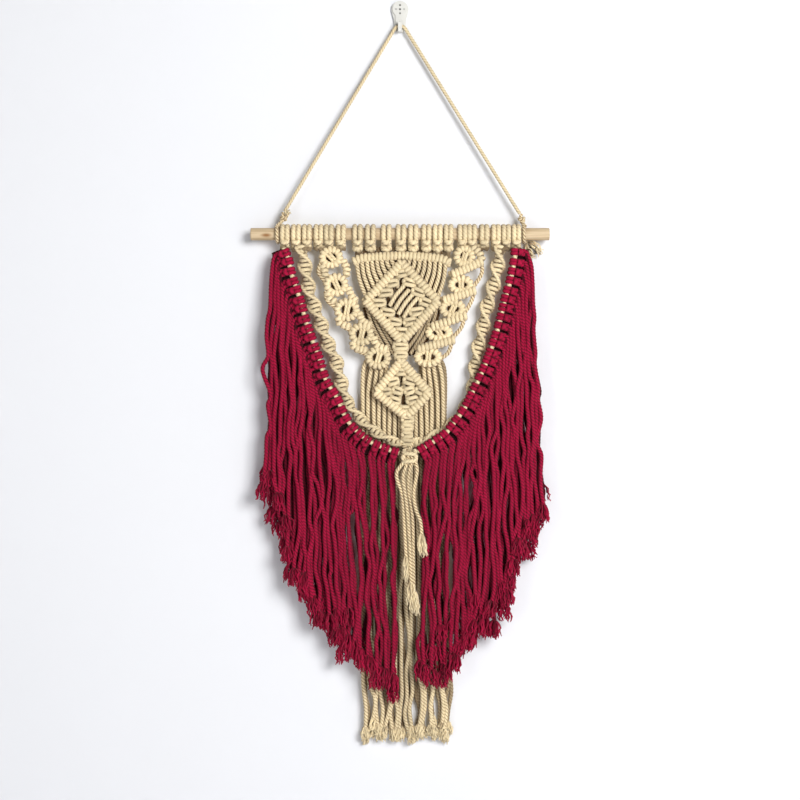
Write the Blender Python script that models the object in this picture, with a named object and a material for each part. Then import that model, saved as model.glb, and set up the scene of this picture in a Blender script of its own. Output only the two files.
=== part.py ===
"""Macrame wall hanging on a dowel, with its hanging cord and the plastic wall hook it hangs from.

Frame: metres, +Z up, the wall is the plane y = 0 and the front looks along -Y. The origin is the
centre of the hook plate's flat back. Places in the tables are millimetres: x to the right of the
middle, drop downwards from DATUM (a level line near the plate's top edge), y out from the wall
(negative values stand off it).
"""

import math

import bpy
import numpy as np

MM = 0.001

# Driving sizes, millimetres
DATUM = 7.0                  # the datum line lies this far above the hook plate's centre
DOWEL_LENGTH = 299.0
DOWEL_DIAMETER = 12.4
DOWEL_DROP = 234.0
DOWEL_Y = -11.9
CORD = 4.2                   # natural and red macrame cord
HANGING_CORD = 3.8
CLEARANCE = 0.4              # between a loop and the dowel inside it
WRAP_OUTSIDE = 10.7          # outer radius of a cord wrapped round the dowel
PANEL_Y = -14.0              # mid plane of the knotted panels
BAR_WIDTH = 8.2              # a bar of double half hitches
RIDGE_PITCH = 9.0            # from one swell of a bar to the next
GARLAND_WIDTH = 10.4         # a bar of red lark's heads
KNOTS_A_SIDE = 25            # red lark's heads on each garland
STRANDS_A_SIDE = 33
BACK_FRINGE_Y = -6.0         # natural cords hanging behind
BACK_STRIP_Y = -8.4          # the strip their roots are fused into

# Hook, millimetres
PLATE_RADIUS = 8.6
PLATE_THICK = 2.2
FACE_RADIUS = 7.5
FACE_THICK = 3.4
NECK_HALF = 5.4
NECK_THICK = 3.6
FACE_SIDES = 24
HOLLOW_OFFSET = 4.1          # from the middle pin hollow to the four round it
HOLLOW_RADIUS = 0.8
HOOK_BOTTOM = 30.4
LIP_HALF = 2.0

# Lark's heads on the dowel: the two wraps of each, x in mm, in the order in which they hang
HEADS = {
    "garland_left": [(-117.4, -112.8)],
    "spiral_left": [(-106.4, -101.6), (-95.6, -90.8)],
    "ring_column_left": [(-83.8, -79.0), (-73.6, -68.8), (-61.7, -56.7)],
    "center_panel": [(-45.2, -40.0), (-32.4, -27.0), (-16.5, -11.0), (-1.8, 3.6),
                     (10.6, 15.8), (23.8, 28.9), (35.0, 40.0), (46.0, 50.6)],
    "ring_column_right": [(59.9, 64.8), (69.5, 74.4), (81.8, 86.6)],
    "spiral_right": [(93.6, 98.2), (103.7, 108.3)],
    "garland_right": [(113.9, 118.4)],
}

# Spiral sinnets: x, drop, y, half width
SPIRALS = {
    "spiral_left": [
        (-99.0, 246.0, -16.0, 5.4), (-97.0, 255.0, -14.0, 6.2), (-94.0, 273.0, -11.0, 6.3),
        (-90.0, 295.0, -9.5, 6.3), (-81.0, 319.0, -9.0, 6.3), (-73.0, 342.0, -9.0, 6.3),
        (-64.0, 362.0, -9.6, 6.2), (-58.5, 384.0, -11.5, 6.0), (-53.5, 400.0, -13.0, 5.4),
        (-46.0, 411.5, -13.4, 5.0), (-37.0, 421.5, -13.4, 4.6), (-28.0, 429.5, -13.2, 4.4),
        (-17.0, 436.5, -13.2, 4.2), (-6.0, 441.5, -13.2, 3.6),
    ],
    "spiral_right": [
        (100.5, 246.0, -16.0, 5.4), (99.0, 255.0, -14.0, 6.2), (97.0, 272.0, -11.0, 6.3),
        (91.5, 293.0, -9.5, 6.3), (86.0, 312.0, -9.0, 6.3), (82.5, 332.0, -8.6, 6.3),
        (78.0, 351.0, -8.4, 6.2), (75.0, 370.0, -8.2, 5.8), (71.5, 391.0, -9.0, 4.8),
        (62.5, 410.0, -11.0, 4.3), (53.0, 422.0, -12.4, 4.0), (42.5, 431.0, -13.0, 4.0),
        (33.0, 436.0, -13.2, 3.8), (21.5, 441.0, -13.2, 3.6),
    ],
}
SPIRAL_HALF_TURN = 20.0
SPIRAL_FLATNESS = 0.62

# Wrapped rings of the side columns: x, drop, half width, half height
RINGS = {
    "ring_column_left": [
        (-69.0, 257.5, 12.2, 11.2), (-64.5, 285.0, 12.4, 11.6), (-53.8, 310.0, 12.4, 11.6),
        (-39.4, 333.5, 12.4, 11.6), (-22.8, 357.5, 12.2, 11.2),
    ],
    "ring_column_right": [
        (68.0, 257.6, 12.8, 9.8), (60.5, 284.0, 11.6, 8.6), (54.6, 308.6, 11.2, 8.4),
        (40.6, 333.4, 11.6, 8.4), (28.0, 358.0, 11.8, 9.0),
    ],
}
RING_BODY = 3.6              # half thickness of a ring's wrapped body

# Slanting bars under the right column's rings: x, drop of each end
BANDS = {
    "ring_column_left": [],
    "ring_column_right": [
        ((81.0, 262.5), (55.0, 274.5)), ((74.0, 290.5), (49.0, 299.4)),
        ((64.5, 316.5), (31.0, 328.2)), ((52.0, 341.0), (17.5, 350.6)),
    ],
}
LINK_FROM, LINK_TO = 50.0, 215.0     # degrees round two rings, from the right, where a cord joins them
LINK_DIAMETER = 6.6
# Loops of cord along the columns' outer and inner edges: start, bulge and end, each x, drop
EDGE_LOOPS = {
    "ring_column_left": [
        ((-79.0, 262.0), (-81.5, 272.0), (-75.0, 282.0)), ((-74.5, 291.0), (-72.6, 300.5), (-63.5, 308.5)),
        ((-63.0, 317.0), (-57.0, 326.0), (-48.5, 331.0)), ((-48.0, 341.0), (-42.5, 350.5), (-32.5, 354.5)),
    ],
    "ring_column_right": [
        ((81.5, 263.0), (81.5, 274.0), (72.0, 289.0)), ((74.0, 291.0), (71.5, 301.0), (63.5, 315.0)),
        ((64.5, 317.0), (61.0, 328.0), (50.5, 340.0)), ((52.0, 342.0), (48.0, 353.0), (38.0, 360.0)),
    ],
}

# Bars of the middle panel: x, drop along each bar, with its width
HORIZONTAL_BAR = [(-45.5, 260.5), (-33.0, 257.0), (-2.0, 254.6), (23.0, 256.0), (40.0, 258.2), (47.6, 260.2)]
BIG_DIAMOND = {"top": (1.5, 265.0), "left": (-36.0, 300.0), "right": (38.0, 301.0), "bottom": (1.5, 342.5)}
SMALL_DIAMOND = {"top": (0.8, 361.0), "left": (-23.6, 392.5), "right": (28.6, 393.0), "bottom": (6.4, 416.5)}
FAN_CORDS = 8
# Square knots: x, drop, width, height
BIG_KNOTS = [
    (0.5, 277.5, 26, 15), (-16.5, 291.5, 26, 16), (18.5, 291.5, 20, 18),
    (-18.0, 307.5, 32, 18), (20.5, 307.5, 26, 19), (1.5, 326.0, 32, 25),
]
SMALL_KNOTS = [(1.5, 377.5, 24, 19), (-11.0, 391.5, 21, 20), (16.6, 391.5, 19.6, 20), (4.5, 405.5, 28, 19)]
MIDDLE_KNOT = (0.0, 351.0, 14, 18.4)
SINNET_KNOTS = [(7.6, 423.0, 14, 15), (7.2, 436.6, 14, 15)]
CENTRE_CORDS = [((4.0, 284.0), (-12.0, 307.0)), ((10.5, 288.0), (-6.0, 311.0)),
                ((15.5, 291.5), (-4.0, 317.5)), ((20.0, 295.5), (1.4, 320.0))]

# Garland bars: x, drop, y along the carrier, outer end first
GARLANDS = {
    "garland_left": [
        (-116.0, 248.5, -18.0), (-111.0, 261.0, -19.6), (-108.0, 275.0, -20.5), (-99.5, 300.5, -21.0),
        (-94.0, 321.0, -21.0), (-87.0, 341.5, -21.0), (-80.5, 359.0, -21.0), (-74.0, 380.0, -21.2),
        (-63.5, 397.0, -21.6), (-54.4, 417.0, -22.0), (-44.4, 430.0, -22.4), (-31.0, 441.0, -22.8),
        (-14.0, 448.5, -23.0), (-1.0, 453.0, -23.0),
    ],
    "garland_right": [
        (115.5, 248.5, -18.0), (114.0, 262.0, -19.6), (110.0, 281.0, -20.5), (105.0, 299.0, -21.0),
        (100.7, 317.0, -21.0), (96.0, 334.0, -21.0), (90.0, 352.0, -21.0), (82.0, 372.0, -21.2),
        (73.0, 391.0, -21.6), (65.0, 407.0, -22.0), (56.0, 420.0, -22.2), (45.0, 433.5, -22.6),
        (31.0, 443.0, -22.8), (20.0, 450.0, -23.0),
    ],
}
HANG_X = {"garland_left": (-140.0, -6.0), "garland_right": (146.0, 22.0)}
# Where the red strands end: x, drop
HEMS = {
    "garland_left": [
        (-143.0, 468.0), (-136.0, 500.0), (-121.0, 534.0), (-112.0, 556.0), (-100.0, 592.0), (-80.0, 622.0),
        (-58.0, 647.0), (-45.0, 660.0), (-30.0, 676.0), (-4.0, 690.0),
    ],
    "garland_right": [
        (20.0, 686.0), (51.0, 677.0), (59.0, 669.0), (68.0, 650.0), (90.0, 621.0), (103.0, 611.0),
        (112.0, 583.0), (119.0, 560.0), (135.0, 536.0), (149.0, 494.0),
    ],
}
FRINGE_LAYERS = (0.0, 4.4, -4.4)     # y of the three layers, from the bar's own y

# The natural fringe behind: the strip its roots are fused into, and x, drop of its first and last cord
BACK_STRIP = [(-37.0, 366.0), (-31.0, 384.0), (-23.0, 399.0), (-9.0, 411.0), (6.4, 421.0),
              (21.0, 411.0), (30.5, 399.0), (38.0, 384.0), (45.0, 367.0)]
BACK_STRANDS = 24
BACK_BOTTOM = 744.0

# Front tassel: x, drop, y down each cord
TASSEL_KNOT = (9.6, 457.5, 16, 17)
TASSEL_Y = -28.0
TASSEL_CORDS = [
    [(3.5, 463.0, -28.0), (-2.5, 474.0, -30.5), (1.5, 492.0, -31.0), (6.0, 530.0, -31.0),
     (8.0, 590.0, -31.0)],
    [(7.5, 463.0, -28.0), (3.5, 478.0, -31.5), (6.5, 500.0, -33.0), (11.5, 545.0, -32.0),
     (12.0, 604.0, -31.0)],
    [(11.5, 463.0, -28.0), (9.5, 476.0, -31.0), (11.5, 500.0, -31.0), (15.0, 530.0, -31.0),
     (18.0, 592.0, -31.0)],
    [(15.5, 463.0, -28.0), (14.5, 480.0, -30.5), (15.5, 500.0, -33.0), (19.5, 525.0, -33.0),
     (23.0, 556.0, -32.0)],
]

# Hanging cord: its apex in the hook and its two ends above the dowel
CORD_Y = -5.9
APEX_DROP = 24.4
APEX_RADIUS = 6.5
CORD_ENDS = {"left": (-115.6, 211.4, -11.0), "right": (119.9, 213.4, -11.0)}
END_KNOTS = {"left": (-116.6, 216.8, -11.4), "right": (121.6, 218.4, -11.4)}
LOOP_X = {"left": -122.4, "right": 124.0}


def place(x, drop, y):
    """A table's place in mm becomes a point of the model in metres."""
    return np.array([x, y, DATUM - drop]) * MM


def along(points, count):
    """An even walk of count points along the smooth curve through the given rows."""
    rows = np.array(points, dtype=float)
    rows = np.vstack([2 * rows[0] - rows[1], rows, 2 * rows[-1] - rows[-2]])
    fine = []
    for a, b, c, d in zip(rows, rows[1:], rows[2:], rows[3:]):
        for t in np.linspace(0.0, 1.0, 24, endpoint=False):
            fine.append(0.5 * (2 * b + (c - a) * t + (2 * a - 5 * b + 4 * c - d) * t**2
                               + (3 * b - a - 3 * c + d) * t**3))
    fine.append(rows[-2])
    fine = np.array(fine)
    run = np.concatenate([[0.0], np.cumsum(np.linalg.norm(np.diff(fine[:, :3], axis=0), axis=1))])
    steps = np.linspace(0.0, run[-1], count)
    return np.stack([np.interp(steps, run, column) for column in fine.T], axis=1)


def length(points):
    """Length of the curve through the rows, measured in their first three columns."""
    walk = along(points, 200)[:, :3]
    return float(np.linalg.norm(np.diff(walk, axis=0), axis=1).sum())


def sweep(path, half_width, half_depth, sides, twist=0.0, turn=0.0, closed=False):
    """A closed tube of an oval section carried along path, which lies roughly in the wall's plane.

    half_width is measured across the path in that plane and half_depth along y; both may vary from
    point to point. twist is the section's turn at each point, in radians.
    """
    path = np.array(path, dtype=float)
    count = len(path)
    half_width = np.broadcast_to(half_width, count)
    half_depth = np.broadcast_to(half_depth, count)
    twist = np.broadcast_to(twist, count)
    if closed:
        tangent = np.roll(path, -1, axis=0) - np.roll(path, 1, axis=0)
    else:
        tangent = np.gradient(path, axis=0)
    tangent /= np.linalg.norm(tangent, axis=1)[:, None]
    side = np.cross(tangent, (0.0, 1.0, 0.0))
    side /= np.linalg.norm(side, axis=1)[:, None]
    front = np.cross(side, tangent)
    verts = []
    for i in range(count):
        for k in range(sides):
            angle = 2 * math.pi * k / sides + turn
            u = half_width[i] * math.cos(angle)
            v = half_depth[i] * math.sin(angle)
            c, s = math.cos(twist[i]), math.sin(twist[i])
            verts.append(path[i] + side[i] * (u * c - v * s) + front[i] * (u * s + v * c))
    faces = []
    for i in range(count if closed else count - 1):
        j = (i + 1) % count
        for k in range(sides):
            m = (k + 1) % sides
            faces.append((i * sides + k, j * sides + k, j * sides + m, i * sides + m))
    if not closed:
        faces.append(tuple(range(sides)))
        faces.append(tuple((count - 1) * sides + k for k in reversed(range(sides))))
    return verts, faces


def turned(profile, steps):
    """A solid turned round the dowel's axis from a closed outline of x and radius, in mm."""
    centre = place(0.0, DOWEL_DROP, DOWEL_Y)
    verts = []
    for k in range(steps):
        angle = 2 * math.pi * k / steps
        for x, radius in profile:
            verts.append(centre + np.array([x, radius * math.sin(angle), radius * math.cos(angle)]) * MM)
    size = len(profile)
    faces = []
    for k in range(steps):
        j = (k + 1) % steps
        for i in range(size):
            m = (i + 1) % size
            faces.append((k * size + i, j * size + i, j * size + m, k * size + m))
    return verts, faces


def cord(points, count, diameter=CORD, sides=4):
    """A plain length of cord along rows of x, drop, y; one of three sides shows a corner in front."""
    walk = along(points, count)
    path = [place(*row[:3]) for row in walk]
    radius = diameter / 2 * MM * (1.12 if sides < 5 else 1.0)
    return sweep(path, radius, radius, sides, turn=math.pi / 4 if sides == 4 else -math.pi / 2)


def strand(rows, diameter=CORD - 0.2):
    """A strand of fringe of three sides, straight from row to row."""
    reach = diameter * 0.6 * MM
    return sweep([place(*row) for row in rows], reach, reach, 3, turn=-math.pi / 2)


def ridged_bar(points, width, depth, pitch, sides=5, y=PANEL_Y):
    """A bar of hitches: a tube that swells at each cord that wraps it."""
    rows = [row if len(row) > 2 else (*row, y) for row in points]
    ridges = max(2, round(length(rows) / pitch))
    walk = along(rows, 2 * ridges + 1)
    swell = np.where(np.arange(len(walk)) % 2 == 1, 1.0, 0.8)
    path = [place(*row[:3]) for row in walk]
    return sweep(path, swell * width / 2 * MM, swell * depth / 2 * MM, sides, turn=-math.pi / 2)


def square_knot(x, drop, width, height, y=PANEL_Y, depth=8.6):
    """A knot of two rounded ridges, one above the other."""
    levels = np.array([-0.5, -0.28, 0.0, 0.28, 0.5])
    swell = np.array([0.55, 1.0, 0.78, 1.0, 0.55])
    path = [place(x, drop + height * level, y) for level in levels]
    return sweep(path, swell * width / 2 * MM, swell * depth / 2 * MM, 5, turn=-math.pi / 2)


def wrapped_ring(x, drop, half_width, half_height):
    """A ring whose body swells at each wrap, with the pair of cords that crosses inside it."""
    steps = 10
    angles = [2 * math.pi * k / steps for k in range(steps)]
    middle_w, middle_h = half_width - RING_BODY, half_height - RING_BODY
    path = [place(x + middle_w * math.cos(a), drop + middle_h * math.sin(a), PANEL_Y) for a in angles]
    swell = np.array([1.0 if k % 2 else 0.84 for k in range(steps)]) * RING_BODY * MM
    ring = sweep(path, swell, swell, 4, closed=True)
    lean = 2.4
    ends = [(x - lean, drop - middle_h, PANEL_Y), (x + lean, drop + middle_h, PANEL_Y)]
    return [ring, cord(ends, 2, 1.4 * CORD)]


def on_ring(ring, degrees):
    """A place of x and drop on the middle line of a ring's body."""
    x, drop, half_width, half_height = ring
    angle = math.radians(degrees)
    return (x + (half_width - RING_BODY) * math.cos(angle),
            drop + (half_height - RING_BODY) * math.sin(angle))


def larks_head(first, second):
    """Two wraps round the dowel and the bight that crosses in front below them."""
    steps = 8
    bore = (DOWEL_DIAMETER / 2 + CLEARANCE) / math.cos(math.pi / steps)
    edge = CORD / 2 - 0.1
    wraps = turned([(first - edge, bore), (first, WRAP_OUTSIDE), ((first + second) / 2, WRAP_OUTSIDE - 1.6),
                    (second, WRAP_OUTSIDE), (second + edge, bore)], steps)
    bight_y, bight_drop = DOWEL_Y - 6.3, DOWEL_DROP + 10.6
    bight = cord([(first - 1.2, bight_drop, bight_y), (second + 1.2, bight_drop, bight_y)], 2)
    return [wraps, bight]


def tails(first, second, ends, y=PANEL_Y):
    """The two cords that leave a lark's head, down to the given places of x and drop."""
    top = DOWEL_DROP + 8.6
    return [cord([(start, top, DOWEL_Y - 4.4), (end[0], end[1], y)], 2)
            for start, end in zip((first + 0.3, second - 0.3), ends)]


def tail_pair(first, second, end_x, end_drop, y):
    """The two cords that leave a lark's head side by side, as one flat length."""
    rows = [((first + second) / 2, DOWEL_DROP + 8.6, DOWEL_Y - 4.4), (end_x, end_drop, y)]
    return sweep([place(*row) for row in rows], 1.1 * CORD * MM, 0.5 * CORD * MM, 4, turn=math.pi / 4)


def fused(name, solids, finish):
    """Unites overlapping solids into one closed body and makes it a node."""
    keel = max(range(len(solids)), key=lambda i: len(solids[i][0]))
    rest = [solid for i, solid in enumerate(solids) if i != keel]
    body = mesh_object(name, [solids[keel]], finish)
    if rest:
        joined = mesh_object(f"{name}_parts", rest, None)
        joined.hide_render = True
        joined.display_type = "WIRE"
        union = body.modifiers.new("Union", "BOOLEAN")
        union.operation = "UNION"
        union.solver = "EXACT"
        union.use_self = True
        union.object = joined
    return body


def mesh_object(name, solids, finish):
    """One mesh object holding the given closed shapes, with their faces pointing out."""
    verts, faces = [], []
    for shape_verts, shape_faces in solids:
        start = len(verts)
        verts.extend(shape_verts)
        sign = signed_volume(shape_verts, shape_faces)
        for face in shape_faces:
            ring = [start + i for i in face]
            faces.append(ring if sign > 0 else ring[::-1])
    mesh = bpy.data.meshes.new(name)
    mesh.from_pydata([tuple(v) for v in verts], [], faces)
    mesh.update()
    if finish:
        mesh.materials.append(finish)
    obj = bpy.data.objects.new(name, mesh)
    bpy.context.scene.collection.objects.link(obj)
    return obj


def signed_volume(verts, faces):
    """Six times the volume inside the faces; negative where they point inwards."""
    total = 0.0
    for face in faces:
        for b, c in zip(face[1:], face[2:]):
            total += float(np.dot(verts[face[0]], np.cross(verts[b], verts[c])))
    return total


def material(name, colour, roughness):
    """A plain Principled material."""
    made = bpy.data.materials.new(name)
    made.use_nodes = True
    shader = made.node_tree.nodes["Principled BSDF"]
    shader.inputs["Base Color"].default_value = (*colour, 1.0)
    shader.inputs["Roughness"].default_value = roughness
    shader.inputs["Metallic"].default_value = 0.0
    return made


def make_hook(finish):
    """Round plate with a raised face, a neck, and a lip that holds the cord up."""
    outline = []
    for k in range(17):                                   # over the top, from the lower left tangent
        angle = math.radians(200 - 220 * k / 16)
        outline.append((PLATE_RADIUS * math.cos(angle), DATUM - PLATE_RADIUS * math.sin(angle)))
    outline += [(NECK_HALF + 0.8, 17.0), (NECK_HALF, 24.0), (NECK_HALF - 2.0, HOOK_BOTTOM - 1.0),
                (LIP_HALF, HOOK_BOTTOM), (-LIP_HALF, HOOK_BOTTOM), (2.0 - NECK_HALF, HOOK_BOTTOM - 1.0),
                (-NECK_HALF, 24.0), (-NECK_HALF - 0.8, 17.0)]
    plate = prism(outline, 0.0, -PLATE_THICK)
    face = prism(circle(0.0, DATUM, FACE_RADIUS, FACE_SIDES), -0.8, -FACE_THICK)
    neck = prism([(-4.6, 13.0), (4.6, 13.0), (4.2, 22.0), (3.0, HOOK_BOTTOM - 0.4), (-3.0, HOOK_BOTTOM - 0.4),
                  (-4.2, 22.0)], -0.9, -NECK_THICK)
    floor_top = APEX_DROP + HANGING_CORD / 2 + 0.9
    lip_back = -CORD_Y + HANGING_CORD / 2 + 0.4
    lip_front = lip_back + 2.4
    side = [(1.2, floor_top), (lip_back, floor_top), (lip_back, 21.0), (lip_back + 0.6, 20.0),
            (lip_front - 0.6, 20.0), (lip_front, 21.2), (lip_front, 28.6),
            (lip_front - 1.8, HOOK_BOTTOM - 0.2), (1.2, HOOK_BOTTOM - 0.2)]
    lip = side_prism(side, -LIP_HALF, LIP_HALF)
    hook = fused("wall_hook", [plate, face, neck, lip], finish)
    dots = []
    for right, down in ((0, 0), (1, 0), (-1, 0), (0, 1), (0, -1)):
        rim = circle(right * HOLLOW_OFFSET, DATUM + down * HOLLOW_OFFSET, HOLLOW_RADIUS, 6, 0.2)
        dots.append(prism(rim, -FACE_THICK + 0.7, -FACE_THICK - 1.0))
    cutter = mesh_object("pin_hollows", dots, None)
    cutter.hide_render = True
    cutter.display_type = "WIRE"
    cut = hook.modifiers.new("Pin hollows", "BOOLEAN")
    cut.operation = "DIFFERENCE"
    cut.solver = "EXACT"
    cut.object = cutter


def circle(x, drop, radius, sides, turn=0.0):
    """Corners of a regular outline round a place of x and drop."""
    angles = [2 * math.pi * k / sides + turn for k in range(sides)]
    return [(x + radius * math.cos(a), drop + radius * math.sin(a)) for a in angles]


def prism(outline, y_back, y_front):
    """An outline of x and drop, extruded from y_back to y_front."""
    count = len(outline)
    verts = [place(x, drop, y) for y in (y_back, y_front) for x, drop in outline]
    faces = [tuple(range(count)), tuple(reversed(range(count, 2 * count)))]
    faces += [(i, count + i, count + (i + 1) % count, (i + 1) % count) for i in range(count)]
    return verts, faces


def side_prism(outline, x_left, x_right):
    """An outline of distance from the wall and drop, extruded from x_left to x_right."""
    count = len(outline)
    verts = [place(x, drop, -out) for x in (x_left, x_right) for out, drop in outline]
    faces = [tuple(range(count)), tuple(reversed(range(count, 2 * count)))]
    faces += [(i, count + i, count + (i + 1) % count, (i + 1) % count) for i in range(count)]
    return verts, faces


def make_dowel(finish):
    """The wooden dowel with a small chamfer at each end."""
    half, radius, chamfer = DOWEL_LENGTH / 2, DOWEL_DIAMETER / 2, 0.6
    rows = [(-half, radius - chamfer), (-half + chamfer, radius),
            (half - chamfer, radius), (half, radius - chamfer)]
    steps = 24
    verts = []
    for x, r in rows:
        for k in range(steps):
            angle = 2 * math.pi * k / steps
            verts.append(place(x, DOWEL_DROP + r * math.cos(angle), DOWEL_Y + r * math.sin(angle)))
    faces = [tuple(range(steps)), tuple(3 * steps + k for k in reversed(range(steps)))]
    for i in range(3):
        for k in range(steps):
            m = (k + 1) % steps
            faces.append((i * steps + k, (i + 1) * steps + k, (i + 1) * steps + m, i * steps + m))
    dowel = mesh_object("dowel", [(verts, faces)], finish)
    dowel.data.shade_smooth()
    dowel.data.set_sharp_from_angle(angle=math.radians(40))


def cord_route():
    """Points of the hanging cord: up to the hook, round a small bend, and down again."""
    left, right = np.array(CORD_ENDS["left"]), np.array(CORD_ENDS["right"])
    lean = math.atan2(-left[0], left[1] - APEX_DROP)
    reach = math.pi / 2 - lean
    bend = np.array([(APEX_RADIUS * math.sin(a), APEX_DROP + APEX_RADIUS * (1 - math.cos(a)), CORD_Y)
                     for a in np.linspace(-reach, reach, 7)])
    leg = 1 + round(float(np.linalg.norm(bend[0] - left)) / (3 * HANGING_CORD))
    up = np.linspace(left, bend[0], leg)[:-1]
    down = np.linspace(bend[-1], right, leg)[1:]
    return np.concatenate([up, bend, down])


def make_hanging_cord(finish):
    """The cord that carries the dowel, as a bevelled curve."""
    walk = cord_route()
    curve = bpy.data.curves.new("hanging_cord", "CURVE")
    curve.dimensions = "3D"
    curve.bevel_depth = HANGING_CORD / 2 * MM
    curve.bevel_resolution = 2
    curve.use_fill_caps = True
    spline = curve.splines.new("POLY")
    spline.points.add(len(walk) - 1)
    for point, row in zip(spline.points, walk):
        point.co = (*place(*row), 1.0)
    curve.materials.append(finish)
    tube = bpy.data.objects.new("hanging_cord", curve)
    bpy.context.scene.collection.objects.link(tube)


def make_hanger_loop(side, finish):
    """The end of the hanging cord: a knot above the dowel and a turn round it."""
    x = LOOP_X[side]
    knot_x, knot_drop, knot_y = END_KNOTS[side]
    steps = 10
    bore = (DOWEL_DIAMETER / 2 + CLEARANCE) / math.cos(math.pi / steps)
    edge = HANGING_CORD / 2 - 0.2
    turn = turned([(x - edge, bore), (x - edge / 2, WRAP_OUTSIDE - 0.4), (x + edge / 2, WRAP_OUTSIDE - 0.4),
                   (x + edge, bore)], steps)
    knot = square_knot(knot_x, knot_drop, 8.6, 8.0, knot_y, 7.4)
    link = cord([(knot_x, knot_drop + 1.0, knot_y), (x, DOWEL_DROP - 8.6, DOWEL_Y)], 3, HANGING_CORD)
    parts = [turn, knot, link]
    if side == "right":
        tail = along([(x + 0.4, DOWEL_DROP + 7.4, DOWEL_Y + 4.4), (x + 6.0, DOWEL_DROP + 12.0, DOWEL_Y + 5.6),
                      (x + 13.5, DOWEL_DROP + 20.0, DOWEL_Y + 6.0)], 4)
        half = np.array([1.9, 2.0, 2.6, 3.6]) * MM
        parts.append(sweep([place(*row) for row in tail], half, half * 0.6, 4, turn=math.pi / 4))
    fused(f"hanger_loop_{side}", parts, finish)


def make_spiral(name, finish):
    """A half-knot sinnet: an oval section that turns steadily down its path, hung from two lark's heads."""
    rows = SPIRALS[name]
    count = 1 + round(length(rows) / (SPIRAL_HALF_TURN / 3))
    walk = along(rows, count)
    run = length(rows)
    hand = 1 if name.endswith("right") else -1
    twist = hand * math.pi * np.linspace(0.0, run / SPIRAL_HALF_TURN, count)
    half = walk[:, 3] * MM
    sinnet = sweep([place(*row[:3]) for row in walk], half, half * SPIRAL_FLATNESS, 6, twist=twist)
    parts = [sinnet]
    for first, second in HEADS[name]:
        parts += larks_head(first, second)
        reach = rows[0][0] + ((first + second) / 2 - rows[0][0]) * 0.42
        parts.append(tail_pair(first, second, reach, rows[0][1] + 4.0, rows[0][2] + 0.5))
    fused(name, parts, finish)


def make_ring_column(name, finish):
    """A column of wrapped rings with slanting bars and edge loops, hung from three lark's heads."""
    parts = []
    for ring in RINGS[name]:
        parts += wrapped_ring(*ring)
    if not BANDS[name]:
        for upper, lower in zip(RINGS[name], RINGS[name][1:]):
            rows = [(*on_ring(upper, LINK_FROM), PANEL_Y), (*on_ring(lower, LINK_TO), PANEL_Y)]
            parts.append(cord(rows, 2, LINK_DIAMETER))
    for start, end in BANDS[name]:
        parts.append(ridged_bar([start, end], BAR_WIDTH - 0.8, BAR_WIDTH, RIDGE_PITCH))
    for loop in EDGE_LOOPS[name]:
        parts.append(cord([(*point, PANEL_Y + 0.6) for point in loop], 4))
    x_first, drop_first = RINGS[name][0][:2]
    for first, second in HEADS[name]:
        parts += larks_head(first, second)
        reach = x_first + ((first + second) / 2 - x_first) * 0.6
        parts.append(tail_pair(first, second, reach, drop_first - 4.8, PANEL_Y))
    fused(name, parts, finish)


def diamond(corners):
    """Four ridged bars that cross a little at the corners."""
    sides = (("top", "left"), ("top", "right"), ("left", "bottom"), ("right", "bottom"))
    return [ridged_bar([corners[a], corners[b]], BAR_WIDTH, BAR_WIDTH + 0.2 * i, RIDGE_PITCH)
            for i, (a, b) in enumerate(sides)]


def make_center_panel(finish):
    """The middle panel: heading, bar, fanned cords, two diamonds of square knots and a short sinnet."""
    parts = [ridged_bar(HORIZONTAL_BAR, 7.4, 7.8, RIDGE_PITCH)]
    bar = np.array(HORIZONTAL_BAR)
    for first, second in HEADS["center_panel"]:
        parts += larks_head(first, second)
        squeeze = 0.93
        ends = [(x * squeeze, float(np.interp(x * squeeze, bar[:, 0], bar[:, 1]))) for x in (first, second)]
        parts += tails(first, second, ends)
    parts += diamond(BIG_DIAMOND)
    parts += diamond(SMALL_DIAMOND)
    top = np.array(BIG_DIAMOND["top"])
    for side, bar_end in (("left", -44.5), ("right", 46.5)):
        corner = np.array(BIG_DIAMOND[side])
        for k in range(FAN_CORDS):
            share = (k + 0.35) / FAN_CORDS
            x_top = bar_end * (1 - 0.86 * share)
            foot = corner + (top - corner) * 0.93 * share
            start = (x_top, float(np.interp(x_top, bar[:, 0], bar[:, 1])), PANEL_Y)
            parts.append(cord([start, (*foot, PANEL_Y)], 2))
    for knot in BIG_KNOTS + SMALL_KNOTS + SINNET_KNOTS + [MIDDLE_KNOT]:
        parts.append(square_knot(*knot))
    for start, end in CENTRE_CORDS:
        parts.append(cord([(*start, PANEL_Y - 1.4), (*end, PANEL_Y - 1.0)], 2))
    fused("center_panel", parts, finish)


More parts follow.
